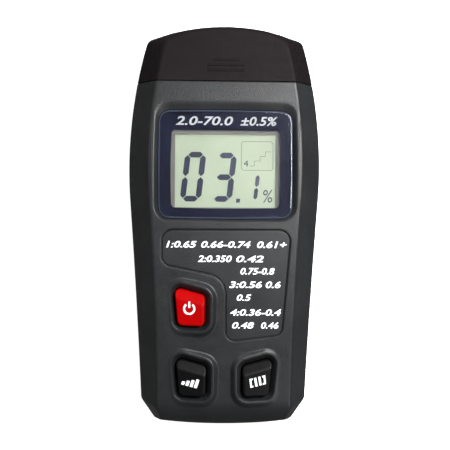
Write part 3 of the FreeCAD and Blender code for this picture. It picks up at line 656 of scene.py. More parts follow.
@dataclass(frozen=True)
class KeyForm:
    """Sizes of one key and its raised pad; a right-hand key mirrors a left-hand one."""

    name: str
    x: float
    y: float
    right: bool = False
    proud: float = 0.8
    tilt: float = 0.0915
    flush_at: float = 19.5
    rim: float = 1.75
    brow: float = 2.65
    foot: float = 4.35
    seam: float = 4.9
    fit: float = 0.35
    funnel: float = 1.9
    flange: Pair = (25.0, 25.6)
    corners: tuple[Corner, ...] = (
        (-5.35, 6.7, 1.8), (-4.1, -6.3, 1.8), (4.95, -6.65, 1.8), (5.1, 3.9, 1.8))
    crease: Pair = (-0.15, 1.85)
    crease_run: Pair = (9.2, -2.6)
    slope: float = 28.0
    bevel_at: float = 4.45
    bevel: float = 38.0
    crease_soft: float = 0.3

    def outline(self) -> Outline:
        """The key's own outline, about its place on the left side."""
        corners = [(x + self.x, y + self.y, radius) for x, y, radius in self.corners]
        return Outline.rounded(corners, (26, 18, 22, 22), 8)

    def rim_plane(self, form: CaseForm, x: Array, y: Array) -> Array:
        """Height of the pad's tilted top, which starts flush with the face at the outside.

        Args:
            form: The case that the key is in.
            x: Plan coordinates on the left side.
            y: The same for the other axis.

        Returns:
            The height at each point.
        """
        base = form.face(np.array(self.y)) + self.tilt * (self.flush_at + self.x)
        slope = -(self.y - form.face_mid) / form.face_radius
        return base + slope * (y - self.y) + self.tilt * (x - self.x)

    def top(self, form: CaseForm, x: Array, y: Array) -> Array:
        """Height of the key's top: a flat, a long slope at its upper end, an inner bevel.

        The slope falls with the distance past a crease line, and the bevel with the
        distance past a line along the key.

        Args:
            form: The case that the key is in.
            x: Plan coordinates on the left side.
            y: The same for the other axis.

        Returns:
            The height at each point.
        """
        flat = self.rim_plane(form, x, y) + self.proud
        run_x, run_y = self.crease_run
        past_x, past_y = x - self.x - self.crease[0], y - self.y - self.crease[1]
        ahead = (run_x * past_y - run_y * past_x) / math.hypot(run_x, run_y)
        slope = flat - math.tan(math.radians(self.slope)) * ahead
        bevel = flat - math.tan(math.radians(self.bevel)) * (x - self.x - self.bevel_at)
        return soft_min(soft_min(flat, slope, self.crease_soft), bevel, self.crease_soft)

    def flipped(self, patch: Patch) -> Patch:
        """The patch, or its mirror image with its faces turned for a right-hand key.

        Args:
            patch: A patch on the left side.

        Returns:
            The patch on the key's own side.
        """
        verts, quads = patch
        if not self.right:
            return patch
        return verts * np.array([-1, 1, 1]), quads[:, ::-1]


POWER = KeyForm("power", -11.85, -27.7)
MODE = KeyForm("mode", -11.25, -51.85)
HOLD = KeyForm("hold", -11.25, -51.85, right=True)
KEYS = (POWER, MODE, HOLD)

CASE_PLASTIC = Finish("case_plastic", tint(24, 25, 26), 0.36, Grain.MOULDED, 0.42, 0.028, 0.14,
                      refraction=1.32, specular=0.5)
CAP_PLASTIC = Finish("cap_plastic", tint(15, 11, 12), 0.6, Grain.MOULDED, 0.3, 0.006, 0.1,
                     specular=0.07)
KEY_RED = Finish("key_red", tint(134, 0, 1), 0.4, Grain.SATIN, 0.3, 0.006, 0.06, specular=0.04)
KEY_BLACK = Finish("key_black", tint(7, 7, 8), 0.4, Grain.SATIN, 0.3, 0.008, 0.12, specular=0.08)
LENS = Finish("lens_acrylic", (0.97, 0.98, 0.99), 0.04, Grain.SATIN, 6.0, 0.0, 0.01, clear=1.0,
              refraction=1.49)
LENS_INK = Finish("lens_ink", tint(14, 20, 44), 0.4, Grain.SATIN, 0.4, 0.002, 0.15, specular=0.08,
                  extra=True)
# A lighter matt band over the lens's edge: a painted highlight of the edge catching light.
LENS_EDGE_HIGHLIGHT = Finish("lens_edge_highlight", tint(56, 61, 78), 0.5, Grain.SATIN, 0.5, 0.003, 0.1, specular=0.03,
                   extra=True)
WHITE_INK = Finish("white_ink", tint(226, 229, 232), 0.5, Grain.SATIN, 0.4, 0.004, 0.03, extra=True)
# The panel's glass glows a little: painted light that brightens it where the lens and its recess
# shade it.
LCD_GLASS = Finish("lcd_glass", tint(174, 185, 160), 0.34, Grain.SATIN, 5.0, 0.001, 0.03, glow=0.2)
LCD_SEGMENT = Finish("lcd_segment", tint(31, 37, 66), 0.4, Grain.SATIN, 0.8, 0.001, 0.15,
                     extra=True)
LCD_LINE = Finish("lcd_line", tint(110, 112, 100), 0.4, Grain.SATIN, 0.8, 0.001, 0.1, extra=True)

NODE_FINISHES = (
    CASE_PLASTIC, CAP_PLASTIC, KEY_RED, KEY_BLACK, LENS, LCD_GLASS,
    Finish("foam", tint(40, 40, 42), 0.95, Grain.FOAM, 0.7, 0.25, 0.3),
    Finish("tape_black", tint(16, 16, 18), 0.7, Grain.SATIN, 0.4, 0.01, 0.2),
    Finish("switch_metal", tint(176, 178, 180), 0.34, Grain.BRUSHED, 0.15, 0.004, 0.1, metal=1.0),
    Finish("plunger_black", tint(24, 24, 25), 0.4, Grain.SATIN, 0.3, 0.004, 0.2),
    Finish("lcd_foil", tint(198, 200, 196), 0.3, Grain.BRUSHED, 0.3, 0.003, 0.08, metal=1.0),
    # The LCD frame is white plastic set darker, to mid-grey: painted shade of the window border's
    # shadow on the strip round the panel.
    Finish("frame_white", tint(126, 124, 118), 0.55, Grain.SATIN, 0.5, 0.006, 0.05),
    Finish("zebra_rubber", tint(60, 60, 66), 0.8, Grain.BRUSHED, 0.12, 0.01, 0.4),
    Finish("board_green", tint(22, 92, 52), 0.36, Grain.BOARD, 1.1, 0.03, 0.25, coat=0.4),
    Finish("chip_black", tint(28, 28, 30), 0.6, Grain.SATIN, 0.15, 0.006, 0.2),
    Finish("can_metal", tint(170, 172, 176), 0.28, Grain.BRUSHED, 0.2, 0.004, 0.1, metal=1.0),
    Finish("trimmer_blue", tint(30, 84, 168), 0.45, Grain.SATIN, 0.3, 0.006, 0.12),
    Finish("probe_plastic", tint(30, 30, 32), 0.5, Grain.MOULDED, 0.35, 0.012, 0.15),
    Finish("pin_steel", tint(196, 198, 200), 0.24, Grain.BRUSHED, 0.12, 0.003, 0.06, metal=1.0),
    Finish("brass", tint(206, 168, 92), 0.3, Grain.BRUSHED, 0.15, 0.004, 0.1, metal=1.0),
    Finish("wire_yellow", tint(214, 178, 24), 0.45, Grain.SATIN, 0.4, 0.006, 0.06),
    Finish("wire_red", tint(186, 20, 18), 0.45, Grain.SATIN, 0.4, 0.006, 0.06),
    Finish("wire_black", tint(20, 20, 20), 0.45, Grain.SATIN, 0.4, 0.006, 0.15),
    Finish("battery_jacket", tint(46, 48, 58), 0.32, Grain.WOVEN, 1.0, 0.004, 0.2, metal=0.4),
    Finish("terminal_metal", tint(190, 190, 186), 0.3, Grain.BRUSHED, 0.15, 0.004, 0.1, metal=1.0),
    Finish("screw_steel", tint(150, 152, 156), 0.36, Grain.BRUSHED, 0.15, 0.006, 0.12, metal=1.0),
)


# ---------------------------------------------------------------- front shell

@dataclass(frozen=True)
class Opening:
    """A gap left in the skin, wherever the distance to an outline is between two limits."""

    outline: Outline
    low: float = -math.inf
    high: float = 0.0


@dataclass(frozen=True)
class FrontShell:
    """The front case: its skin, the rims of the key pads, the window frame, the label edge."""

    form: CaseForm = CaseForm()
    wall: float = 1.0
    flank_levels: tuple[float, ...] = (15.0, 17.2, 18.6)
    foot_rows: int = 6
    label_corners: tuple[Corner, ...] = (
        (-21.8, -1.36, 4.0), (-21.75, -13.43, 3.4), (0.2, -17.82, 7.0),
        (0.27, -40.0, 3.3), (19.75, -37.6, 3.5), (22.7, -1.36, 4.0))
    label_sink: float = 0.45
    label_band: float = 0.65
    groove: tuple[Pair, ...] = (
        (0.65, 0.0), (0.3, 0.0), (0.16, -0.05), (0.08, -0.2), (0.04, -0.6), (-0.04, -0.78),
        (-0.22, -0.8), (-0.32, -0.7), (-0.38, -0.52), (-0.5, -0.455), (-0.65, -0.45))
    brim_sides: Sides = (24.5, 1.33, 43.8, 5.2)
    lens_sides: Sides = (22.75, 2.65, 39.1, 3.4)
    window_bow: float = 0.3
    window_seam: float = 0.6
    window_rings: tuple[float, ...] = (0.6, 0.4, 0.2)
    window_shares: tuple[float, ...] = (
        -0.04, 0.0, 0.04, 0.08, 0.14, 0.22, 0.35, 0.5, 0.65, 0.8, 0.9, 0.96)
    window_top: float = 30.2
    window_fall: float = 1.6
    window_soft: float = 0.35
    window_wall: float = 0.5
    seat_rings: tuple[Pair, ...] = (
        (0.25, 28.6), (0.19, 28.52), (0.16, 28.38), (0.15, 28.1), (0.15, 27.2), (-1.2, 27.2))
    pad_rings: tuple[float, ...] = (
        4.9, 4.6, 4.35, 4.1, 3.8, 3.4, 3.0, 2.85, 2.7, 2.55, 2.4, 2.2, 2.05)
    lip_drops: tuple[Pair, ...] = ((1.93, 0.015), (1.84, 0.06), (1.76, 0.14), (1.69, 0.25))
    funnel_rings: tuple[float, ...] = (1.5, 1.2, 0.9, 0.6, 0.45)
    throat_drops: tuple[Pair, ...] = ((0.37, 1.9), (0.35, 2.15))
    throat_foot: float = 25.9
    pad_dip: float = 0.35
    pad_soft: float = 0.28
    pad_blend: float = 0.12
    pad_wall: float = 0.35
    groove_wall: float = 0.3

    def label(self) -> Outline:
        """The stepped panel below the display."""
        return Outline.rounded(self.label_corners, (24, 44, 36, 30, 64, 84), 10)

    def window(self, half: float, low: float, high: float, radius: float) -> Outline:
        """A round-cornered window outline whose four sides bow out a little.

        A side's bow is the window's bow less its square's share of the way to a corner.

        Args:
            half: Half of its width.
            low: Where its lower side is.
            high: Where its upper side is.
            radius: Of its corners.

        Returns:
            The outline.
        """
        corners = [(-half, low, radius), (half, low, radius), (half, high, radius),
                   (-half, high, radius)]
        plain = Outline.rounded(corners, (64, 54, 64, 54), 12).points
        middle = (low + high) / 2
        share = np.stack([plain[:, 0] / half, (plain[:, 1] - middle) / (high - middle)], 1)
        away = np.sign(share) * np.maximum(1 - share[:, ::-1] ** 2, 0) * (np.abs(share) > 0.995)
        return Outline(plain + self.window_bow * away)

    def brim(self) -> Outline:
        """Where the window frame's slope meets the face."""
        return self.window(*self.brim_sides)

    def lens(self) -> Outline:
        """The display lens's own outline."""
        return self.window(*self.lens_sides)

    def openings(self) -> list[Opening]:
        """The gaps in the skin for the window frame, the key pads and the label edge.

        Returns:
            The openings, the label edge last.
        """
        found = [Opening(Outline(self.brim().grown(self.window_seam)))]
        for key in KEYS:
            seam = key.outline().grown(key.seam)
            found.append(Opening(Outline(seam[::-1] * np.array([-1, 1]) if key.right else seam)))
        return found + [Opening(self.label(), -self.label_band, self.label_band)]

    def cut(self, spot: Array, quads: Array) -> Array:
        """Leave out the quads in the openings, and draw the vertices round them to their edges.

        A vertex moves along its distance's slope onto the nearer limit of the opening.

        Args:
            spot: (n, 2) plan places of the vertices, moved in place.
            quads: (m, 4) vertex numbers.

        Returns:
            The quads that stay.
        """
        middle = spot[quads].mean(1)
        keep = np.ones(len(quads), bool)
        for opening in self.openings():
            gap, _, _ = opening.outline.nearest(*middle.T)
            drop = (gap > opening.low) & (gap < opening.high)
            edge = np.intersect1d(quads[drop], quads[~drop])
            away, near_x, near_y = opening.outline.nearest(*spot[edge].T)
            near = np.stack([near_x, near_y], 1)
            ray = spot[edge] - near
            ray /= np.maximum(np.hypot(*ray.T), 1e-6)[:, None] * np.where(away < 0, -1, 1)[:, None]
            outer = away > (opening.low + opening.high) / 2
            spot[edge] = near + ray * np.where(outer, opening.high, opening.low)[:, None]
            keep &= ~drop
        return quads[keep]

    def walls(self, grid: Array) -> list[Patch]:
        """The flanks and the foot end, dropped straight from the lattice's border to the split.

        Args:
            grid: (rows, columns, 3) places of the lattice.

        Returns:
            A patch for each flank and one for the foot end.
        """
        rows, cols, _ = grid.shape
        levels = np.array([self.form.split, *self.flank_levels])
        patches = []
        for column, turn in ((0, -1), (-1, 1)):
            wall = np.repeat(grid[:, column][None], len(levels) + 1, axis=0)
            wall[:-1, :, 2] = levels[:, None]
            patches.append((wall.reshape(-1, 3), grid_quads(len(wall), rows)[:, ::turn]))
        foot = np.repeat(grid[0][None], self.foot_rows + 1, axis=0)
        share = np.linspace(0, 1, self.foot_rows)[:, None]
        foot[:-1, :, 2] = self.form.split * (1 - share) + (grid[0][:, 2] - 0.1) * share
        return patches + [(foot.reshape(-1, 3), grid_quads(len(foot), cols))]

    def skin(self) -> bpy.types.Object:
        """The face, facets and walls, open where the rims and the frame go.

        Returns:
            The skin, with its wall behind it.
        """
        x, y = self.form.lattice()
        spot = np.stack([x.ravel(), y.ravel()], 1)
        quads = self.cut(spot, grid_quads(*x.shape))
        depth, _, _ = self.label().nearest(*spot.T)
        level = self.form.height(*spot.T) - np.where(depth < 0, self.label_sink, 0.0)
        plane = ring(spot, level)
        item = make_mesh("front_shell", [(plane, quads)] + self.walls(plane.reshape(*x.shape, 3)))
        merge(item)
        thicken(item, self.wall)
        return item

    def band(self, name: str, loops: Sequence[Array], depth: float) -> bpy.types.Object:
        """An open strip of surface through closed loops, with a wall behind it.

        Args:
            name: The piece's name.
            loops: (n, 3) loops, the outermost one first.
            depth: How thick the wall is.

        Returns:
            The new piece.
        """
        item = make_mesh(name, [loft(loops, filled=False)])
        thicken(item, depth)
        return item

    def frame(self) -> bpy.types.Object:
        """The window frame: rounded brim, sloping border, and the step the lens sits in.

        Each ring is a blend of the brim and the lens outline, at a height that follows
        the face outside and falls along a straight slope inside, blended where they meet.

        Returns:
            The frame.
        """
        brim, seat = self.brim(), self.lens()
        inner = seat.grown(self.seat_rings[0][0])
        rings = [(brim.grown(grow), -0.5) for grow in self.window_rings]
        rings += [(brim.points * (1 - share) + inner * share, share)
                  for share in self.window_shares]
        loops = []
        for points, share in rings:
            slope = np.full(len(points), self.window_top - self.window_fall * share)
            level = soft_min(self.form.height(*points.T), slope, self.window_soft)
            loops.append(ring(points, level))
        loops += [ring(seat.grown(grow), level) for grow, level in self.seat_rings]
        return self.band("window_frame", loops, self.window_wall)

    def pad(self, key: KeyForm) -> bpy.types.Object:
        """A key's raised pad: sloping wall, tilted rim and the funnel down to the key.

        A ring's height outside the rim is the lower of the tilted plane and the wall,
        which falls evenly to its foot, and never less than the face. Inside the rim the
        rings follow the funnel's slope, with small rounds at both of its ends.

        Args:
            key: The key that stands in the pad.

        Returns:
            The pad.
        """
        base = key.outline()
        loops = []
        for grow in self.pad_rings:
            x, y = base.grown(grow).T
            face = self.form.height(-x if key.right else x, y)
            plane = key.rim_plane(self.form, x, y)
            share = (grow - key.brow) / (key.foot - key.brow)
            wall = plane + (self.form.face(y) - self.pad_dip - plane) * share
            raised = soft_max(soft_min(plane, wall, self.pad_soft), face, self.pad_blend)
            loops.append(ring(base.grown(grow), face if grow > key.foot + 0.3 else raised))
        slope = key.funnel / (key.rim - key.fit)
        straight = [(grow, (key.rim - grow) * slope + 0.04) for grow in self.funnel_rings]
        for grow, drop in (*self.lip_drops, *straight, *self.throat_drops):
            points = base.grown(grow)
            loops.append(ring(points, key.rim_plane(self.form, *points.T) - drop))
        loops.append(ring(base.grown(key.fit), self.throat_foot))
        item = make_mesh(key.name + "_pad", [key.flipped(loft(loops, filled=False))])
        thicken(item, self.pad_wall)
        return item

    def label_edge(self) -> bpy.types.Object:
        """The fine groove round the label panel, between the face and the lower panel.

        Returns:
            The groove's strip of surface.
        """
        outline = self.label()
        loops = []
        for grow, lift in self.groove:
            points = outline.grown(grow)
            loops.append(ring(points, self.form.height(*points.T) + lift))
        return self.band("label_edge", loops, self.groove_wall)

    def build(self) -> None:
        """Make every part of the shell, all in the case's own plastic."""
        for item in (self.skin(), self.frame(), self.label_edge(), *map(self.pad, KEYS)):
            fit_out(item, "case", CASE_PLASTIC, "front_case")


# ---------------------------------------------------------------- keys

@dataclass(frozen=True)
class Key:
    """One push key: flange, straight sides, and a sculpted top with a rounded edge."""

    form: KeyForm
    finish: Finish
    case: CaseForm = CaseForm()
    edge: float = 0.45
    edge_rings: tuple[float, ...] = (0, 0.02, 0.07, 0.15, 0.27, 0.45, 0.7, 1.0, 1.3)
    top_rings: int = 16

    def build(self) -> None:
        """Make the key.

        Rings step in from the sides over the top; a ring's height is the top's own,
        less the quarter circle of its rounded edge. Past the corner radius the rings
        shrink toward the outline's middle.
        """
        base = self.form.outline()
        low, high = self.form.flange
        sides = ((0.9, low), (1.0, low + 0.1), (1.0, high - 0.1), (0.9, high), (0.05, high),
                 (0.0, high + 0.1), (0.0, high + 1.5))
        loops = [ring(base.grown(grow), level) for grow, level in sides]
        middle = base.points.mean(0)
        tops = [(base.grown(-depth), depth) for depth in self.edge_rings]
        reach = tops[-1][0] - middle
        tops += [(middle + reach * share, self.edge)
                 for share in np.linspace(0.92, 0.04, self.top_rings)]
        for points, depth in tops:
            drop = quarter_round(np.array(depth), self.edge)
            loops.append(ring(points, self.form.top(self.case, *points.T) - drop))
        item = make_mesh(self.form.name + "_keytop", [self.form.flipped(loft(loops))])
        fit_out(item, self.form.name + "_button", self.finish, self.form.name + "_key")


# ---------------------------------------------------------------- printing

@dataclass(frozen=True)
class Print:
    """Thin ink: polygons and figures laid on a surface whose height is a function."""

    body: str
    finish: Finish
    level: Callable[[Array, Array], Array]
    lift: float = 0.012
    thick: float = 0.03

    def block(self, points: Array) -> Patch:
        """A flat patch of ink on a loop of an even number of points."""
        low = self.level(*points.T) + self.lift
        return prism(points, low, low + self.thick)

    def bar(self, start: Pair, end: Pair, width: float) -> Patch:
        """A straight stroke: a rectangle that lies half its width to each side of a line.

        Args:
            start: The line's first end.
            end: Its other end.
            width: The stroke's width.

        Returns:
            The stroke's patch.
        """
        first, last = np.array(start, float), np.array(end, float)
        way = (last - first) / np.hypot(*(last - first))
        side = np.array([-way[1], way[0]]) * width / 2
        return self.block(np.stack([first - side, last - side, last + side, first + side]))

    def strip(self, outer: Array, inner: Array) -> Patch:
        """A curved stroke between two edges: a four-cornered section carried along them.

        Args:
            outer: (n, 2) points of the edge on the right of the way along.
            inner: The points of the other edge.

        Returns:
            The stroke's patch, with its ends closed.
        """
        low = np.stack([ring(edge, self.level(*edge.T) + self.lift) for edge in (inner, outer)], 1)
        high = low[:, ::-1] + np.array([0, 0, self.thick])
        return loft(list(np.concatenate([low, high], 1)))

    def arc(self, centre: Pair, radius: float, width: float, low: float, high: float) -> Patch:
        """A curved stroke of a circle, whose edges are circles half a width inside and outside.

        Args:
            centre: The circle's centre.
            radius: Its radius.
            width: The stroke's width.
            low: The angle in degrees where it starts.
            high: The angle where it ends.

        Returns:
            The stroke's patch.
        """
        angle = np.radians(np.linspace(low, high, 24))
        way = np.stack([np.cos(angle), np.sin(angle)], 1)
        hub = np.array(centre)
        return self.strip(hub + way * (radius + width / 2), hub + way * (radius - width / 2))

    def letters(self, text: str, slant: float, heavy: float) -> bpy.types.Mesh:
        """Upright block letters as a mesh.

        Args:
            text: What they say.
            slant: How far they lean.
            heavy: How much bolder they are than the plain face.

        Returns:
            The mesh, at whatever size the letters come.
        """
        curve = bpy.data.curves.new("figures", "FONT")
        curve.body = text
        curve.shear = slant
        curve.offset = heavy
        curve.extrude = 0.5
        curve.resolution_u = 3
        holder = bpy.data.objects.new("figures", curve)
        bpy.context.scene.collection.objects.link(holder)
        bpy.context.view_layer.update()
        graph = bpy.context.evaluated_depsgraph_get()
        solid = bpy.data.meshes.new_from_object(holder.evaluated_get(graph))
        bpy.data.objects.remove(holder)
        return solid

    def figures(self, text: str, x: Pair, y: Pair, slant: float = 0.22,
                heavy: float = 0.02) -> bpy.types.Object:
        """Bold slanted figures that fill a box, laid on the surface.

        The flat letters are scaled to the box, and each vertex is lifted to the
        surface's height.

        Args:
            text: The figures.
            x: The box's left and right side.
            y: Its lower and upper side.
            slant: How far the figures lean.
            heavy: How much bolder they are than the plain face.

        Returns:
            An object to be joined into a piece.
        """
        solid = self.letters(text, slant, heavy)
        flat = np.zeros(len(solid.vertices) * 3, np.float32)
        solid.vertices.foreach_get("co", flat)
        flat = flat.reshape(-1, 3).astype(float)
        low, high = flat.min(0), flat.max(0)
        share = (flat - low) / (high - low)
        corner, far = np.array([x, y]).T
        spot = corner + (far - corner) * share[:, :2]
        z = self.level(*spot.T) + self.lift + self.thick * share[:, 2]
        solid.vertices.foreach_set("co", (ring(spot, z) * MM).astype(np.float32).ravel())
        solid.update()
        item = bpy.data.objects.new("figures", solid)
        bpy.context.scene.collection.objects.link(item)
        return item

    def finish_off(self, name: str, patches: Sequence[Patch],
                   figures: Sequence[bpy.types.Object] = ()) -> None:
        """Join strokes and figures into one named piece and fit it out.

        Args:
            name: The piece's name.
            patches: Its strokes.
            figures: Its figures.
        """
        parts = [make_mesh(name, patches, smooth=False)] if patches else []
        parts += figures
        item = parts[0]
        if len(parts) > 1:
            with bpy.context.temp_override(active_object=item, selected_editable_objects=parts):
                bpy.ops.object.join()
        item.name = name
        merge(item, 0.0005)
        fit_out(item, self.body, self.finish)


@dataclass(frozen=True)
class Label:
    """The printed group list: group numbers and densities, in rows of (text, left, right)."""

    case: CaseForm = CaseForm()
    sink: float = 0.45
    rows: tuple[tuple[Pair, tuple[tuple[str, float, float], ...]], ...] = (
        ((-7.6, -5.3), (("1:0.65", -20.1, -9.8), ("0.66-0.74", -8.2, 8.7), ("0.61+", 10.9, 21.1))),
        ((-12.5, -10.2), (("2:0.350", -9.3, 2.3), ("0.42", 3.8, 13.2))),
        ((-16.7, -14.4), (("0.75-0.8", 5.3, 17.0),)),
        ((-21.3, -19.0), (("3:0.56", 1.5, 12.7), ("0.6", 14.0, 19.1))),
        ((-25.7, -23.5), (("0.5", 4.1, 9.0),)),
        ((-30.8, -28.5), (("4:0.36-0.4", 1.9, 19.3),)),
        ((-35.2, -33.0), (("0.48", 2.6, 10.1), ("0.46", 12.5, 18.5))),
    )

    def build(self) -> None:
        """Print every row on the label panel."""
        ink = Print("case", WHITE_INK, lambda x, y: self.case.height(x, y) - self.sink)
        figures = [ink.figures(text, (left, right), y)
                   for y, words in self.rows for text, left, right in words]
        ink.finish_off("label_figures", [], figures)


@dataclass(frozen=True)
class KeyMarks:
    """Generic signs on the three keys."""

    case: CaseForm = CaseForm()
    power_at: Pair = (-12.1, -28.35)
    mode_at: Pair = (-11.45, -53.45)
    hold_at: Pair = (11.4, -53.2)
    power_ring: tuple[float, ...] = (1.75, 0.62, 128, 412)
    power_bar: tuple[float, ...] = (0.35, 2.4, 0.6)
    turn: float = 14.0
    half_high: float = 1.5

    def ink(self, key: KeyForm) -> Print:
        """Ink that lies on a key's top, mirrored for a right-hand key."""
        side = -1 if key.right else 1
        return Print(key.name + "_button", WHITE_INK, lambda x, y: key.top(self.case, x * side, y))

    def power(self) -> None:
        """Print the power sign: an open ring with a bar in its gap."""
        ink = self.ink(POWER)
        x, y = self.power_at
        low, high, width = self.power_bar
        strokes = [ink.arc(self.power_at, *self.power_ring),
                   ink.bar((x, y + low), (x, y + high), width)]
        ink.finish_off("power_mark", strokes)

    def steps(self) -> list[Array]:
        """Four bars that rise to the right, about their own middle.

        Returns:
            A loop of four points for each bar.
        """
        low = -self.half_high
        return [np.array([(x, low), (x + 1.0, low), (x + 1.2, low + high), (x + 0.2, low + high)])
                for x, high in ((-3.0, 1.2), (-1.5, 1.8), (0.0, 2.4), (1.5, 3.0))]

    def pause(self) -> list[Array]:
        """Two leaning bars between square brackets, about their own middle.

        Returns:
            A loop of four points for each bar, each bracket's stem and each of its ends.
        """
        low, high = -self.half_high, self.half_high
        bars = [[(x, low), (x + 0.75, low), (x + 0.95, high), (x + 0.2, high)]
                for x in (-1.1, 0.35)]
        stems = [[(x, low), (x + 0.6, low), (x + 1.0, high), (x + 0.4, high)]
                 for x in (-2.9, 2.0)]
        ends = [[(x, y), (x + 0.6, y), (x + 0.66, y + 0.5), (x + 0.06, y + 0.5)]
                for x, y in ((-2.4, low), (-2.05, 1.0), (1.5, low), (1.85, 1.0))]
        return [np.array(shape) for shape in bars + stems + ends]

    def stamp(self, key: KeyForm, shapes: Sequence[Array], centre: Pair, turn: float) -> None:
        """Print shapes on a key, turned about their own middle.

        Args:
            key: The key.
            shapes: Loops of points about the origin.
            centre: Where the origin goes.
            turn: By how many degrees the shapes turn.
        """
        angle = math.radians(turn)
        spin = np.array([[math.cos(angle), math.sin(angle)], [-math.sin(angle), math.cos(angle)]])
        ink = self.ink(key)
        patches = [ink.block(shape @ spin + np.array(centre)) for shape in shapes]
        ink.finish_off(key.name + "_mark", patches)

    def build(self) -> None:
        """Print the power sign, a step sign and a pause sign."""
        self.power()
        self.stamp(MODE, self.steps(), self.mode_at, -self.turn)
        self.stamp(HOLD, self.pause(), self.hold_at, self.turn)


# ---------------------------------------------------------------- display

@dataclass(frozen=True)
class Display:
    """The lens with its printed border, and what the liquid-crystal panel shows."""

    shell: FrontShell = FrontShell()
    lens_rings: tuple[Pair, ...] = (
        (-1.0, 27.25), (-0.1, 27.25), (0.0, 27.35), (0.0, 28.35), (-0.05, 28.55),
        (-0.17, 28.7), (-0.3, 28.75), (-0.6, 28.75), (-1.5, 28.75))
    # Rings of the thin band that paints the highlight of the lens's edge.
    edge_highlight_rings: tuple[Pair, ...] = (
        (0.01, 28.42), (-0.03, 28.58), (-0.15, 28.71), (-0.36, 28.77), (-0.4, 28.73),
        (-0.2, 28.64), (-0.1, 28.5), (0.01, 28.42))
    border: Pair = (27.27, 27.31)
    title_lift: float = 27.32
    title_high: Pair = (34.3, 37.4)
    title_words: tuple[tuple[str, Pair], ...] = (
        ("2.0-70.0", (-17.2, 2.5)), ("±0.5%", (5.0, 17.8)))
    glass: float = 25.5
    border_inset: float = 0.12
    border_hole: Sides = (18.5, 6.1, 32.7, 1.3)
    lean: float = 0.114
    digits: tuple[tuple[Pair, Pair, float, str], ...] = (
        ((-15.7, 8.2), (7.3, 17.1), 1.95, "abcdef"),
        ((-5.0, 8.2), (7.2, 16.9), 1.95, "abcdg"),
        ((6.6, 8.2), (4.3, 10.1), 1.35, "bc"))
    digit_gap: float = 0.16
    decimal_point: tuple[Pair, ...] = ((3.7, 7.95), (5.1, 7.95), (5.2, 9.3), (3.85, 9.3))
    stair: tuple[Pair, ...] = (
        (8.4, 20.6), (10.0, 20.6), (10.0, 22.3), (12.0, 22.3), (12.0, 23.9), (13.8, 23.9),
        (13.8, 25.5), (15.7, 25.5))
    box: tuple[Corner, ...] = (
        (5.5, 19.1, 1.0), (16.4, 19.1, 1.0), (16.4, 29.0, 1.0), (5.5, 29.0, 1.0))
    line: float = 0.16

    def lens(self) -> None:
        """Make the clear plate, with a rounded front edge."""
        outline = self.shell.lens()
        loops = [ring(outline.grown(grow), level) for grow, level in self.lens_rings]
        fit_out(make_mesh("lens_plate", [loft(loops)]), "case", LENS, "display_lens")

    def lens_border(self) -> None:
        """Make the dark border printed on the lens's back, open over the panel."""
        outer = self.shell.lens().grown(-self.border_inset)
        hole = self.shell.window(*self.border_hole).points
        low, high = self.border
        loops = [ring(points, level) for points, level in
                 ((hole, low), (outer, low), (outer, high), (hole, high), (hole, low))]
        item = make_mesh("lens_border", [loft(loops, filled=False)], smooth=False)
        merge(item)
        fit_out(item, "case", LENS_INK)

    def rim(self) -> None:
        """Make a thin lighter band over the lens's rounded corner: a painted highlight of its edge
        catching light.
        """
        outline = self.shell.lens()
        loops = [ring(outline.grown(grow), level) for grow, level in self.edge_highlight_rings]
        item = make_mesh("lens_rim_highlight", [loft(loops, filled=False)])
        merge(item)
        fit_out(item, "case", LENS_EDGE_HIGHLIGHT)

    def title(self) -> None:
        """Print the range and accuracy above the panel."""
        ink = Print("case", WHITE_INK, lambda x, y: x * 0 + self.title_lift)
        figures = [ink.figures(text, x, self.title_high) for text, x in self.title_words]
        ink.finish_off("title_figures", [], figures)

    def on_glass(self, finish: Finish) -> Print:
        """Ink on the panel's glass."""
        return Print("case", finish, lambda x, y: x * 0 + self.glass, 0.01, 0.03)

    def segment(self, start: Pair, end: Pair, width: float) -> Array:
        """A pointed bar between two points: six corners, counter-clockwise.

        Args:
            start: One point of the bar.
            end: Its other point.
            width: How wide it is between them.

        Returns:
            The corners.
        """
        first, last = np.array(start), np.array(end)
        way = (last - first) / np.hypot(*(last - first))
        side = np.array([-way[1], way[0]]) * width / 2
        tip = way * width / 2
        return np.stack([first, first + tip - side, last - tip - side, last, last - tip + side,
                         first + tip + side])

    def digit(self, spot: Pair, size: Pair, width: float, lit: str) -> list[Array]:
        """The lit bars of a slanted seven-bar figure.

        Args:
            spot: Its low left corner.
            size: Its width and height.
            width: The bars' width.
            lit: Which bars are lit, from a to g.

        Returns:
            The corners of each lit bar.
        """
        wide, high = size
        middle, inset, gap = high / 2, width / 2, self.digit_gap
        left, right = inset, wide - inset
        ends = {
            "a": ((left + gap, high - inset), (right - gap, high - inset)),
            "b": ((right, high - inset - gap), (right, middle + gap)),
            "c": ((right, middle - gap), (right, inset + gap)),
            "d": ((right - gap, inset), (left + gap, inset)),
            "e": ((left, inset + gap), (left, middle - gap)),
            "f": ((left, middle + gap), (left, high - inset - gap)),
            "g": ((left + gap, middle), (right - gap, middle)),
        }
        bars = [self.segment(*ends[name], width) for name in lit]
        return [np.stack([bar[:, 0] + bar[:, 1] * self.lean, bar[:, 1]], 1) + np.array(spot)
                for bar in bars]

    def reading(self) -> None:
        """Make the figures that the panel shows, with the decimal point."""
        bars = [bar for figure in self.digits for bar in self.digit(*figure)]
        bars.append(np.array(self.decimal_point))
        ink = self.on_glass(LCD_SEGMENT)
        item = make_mesh("reading", [ink.block(bar) for bar in bars], smooth=False)
        fit_out(item, "case", LCD_SEGMENT)

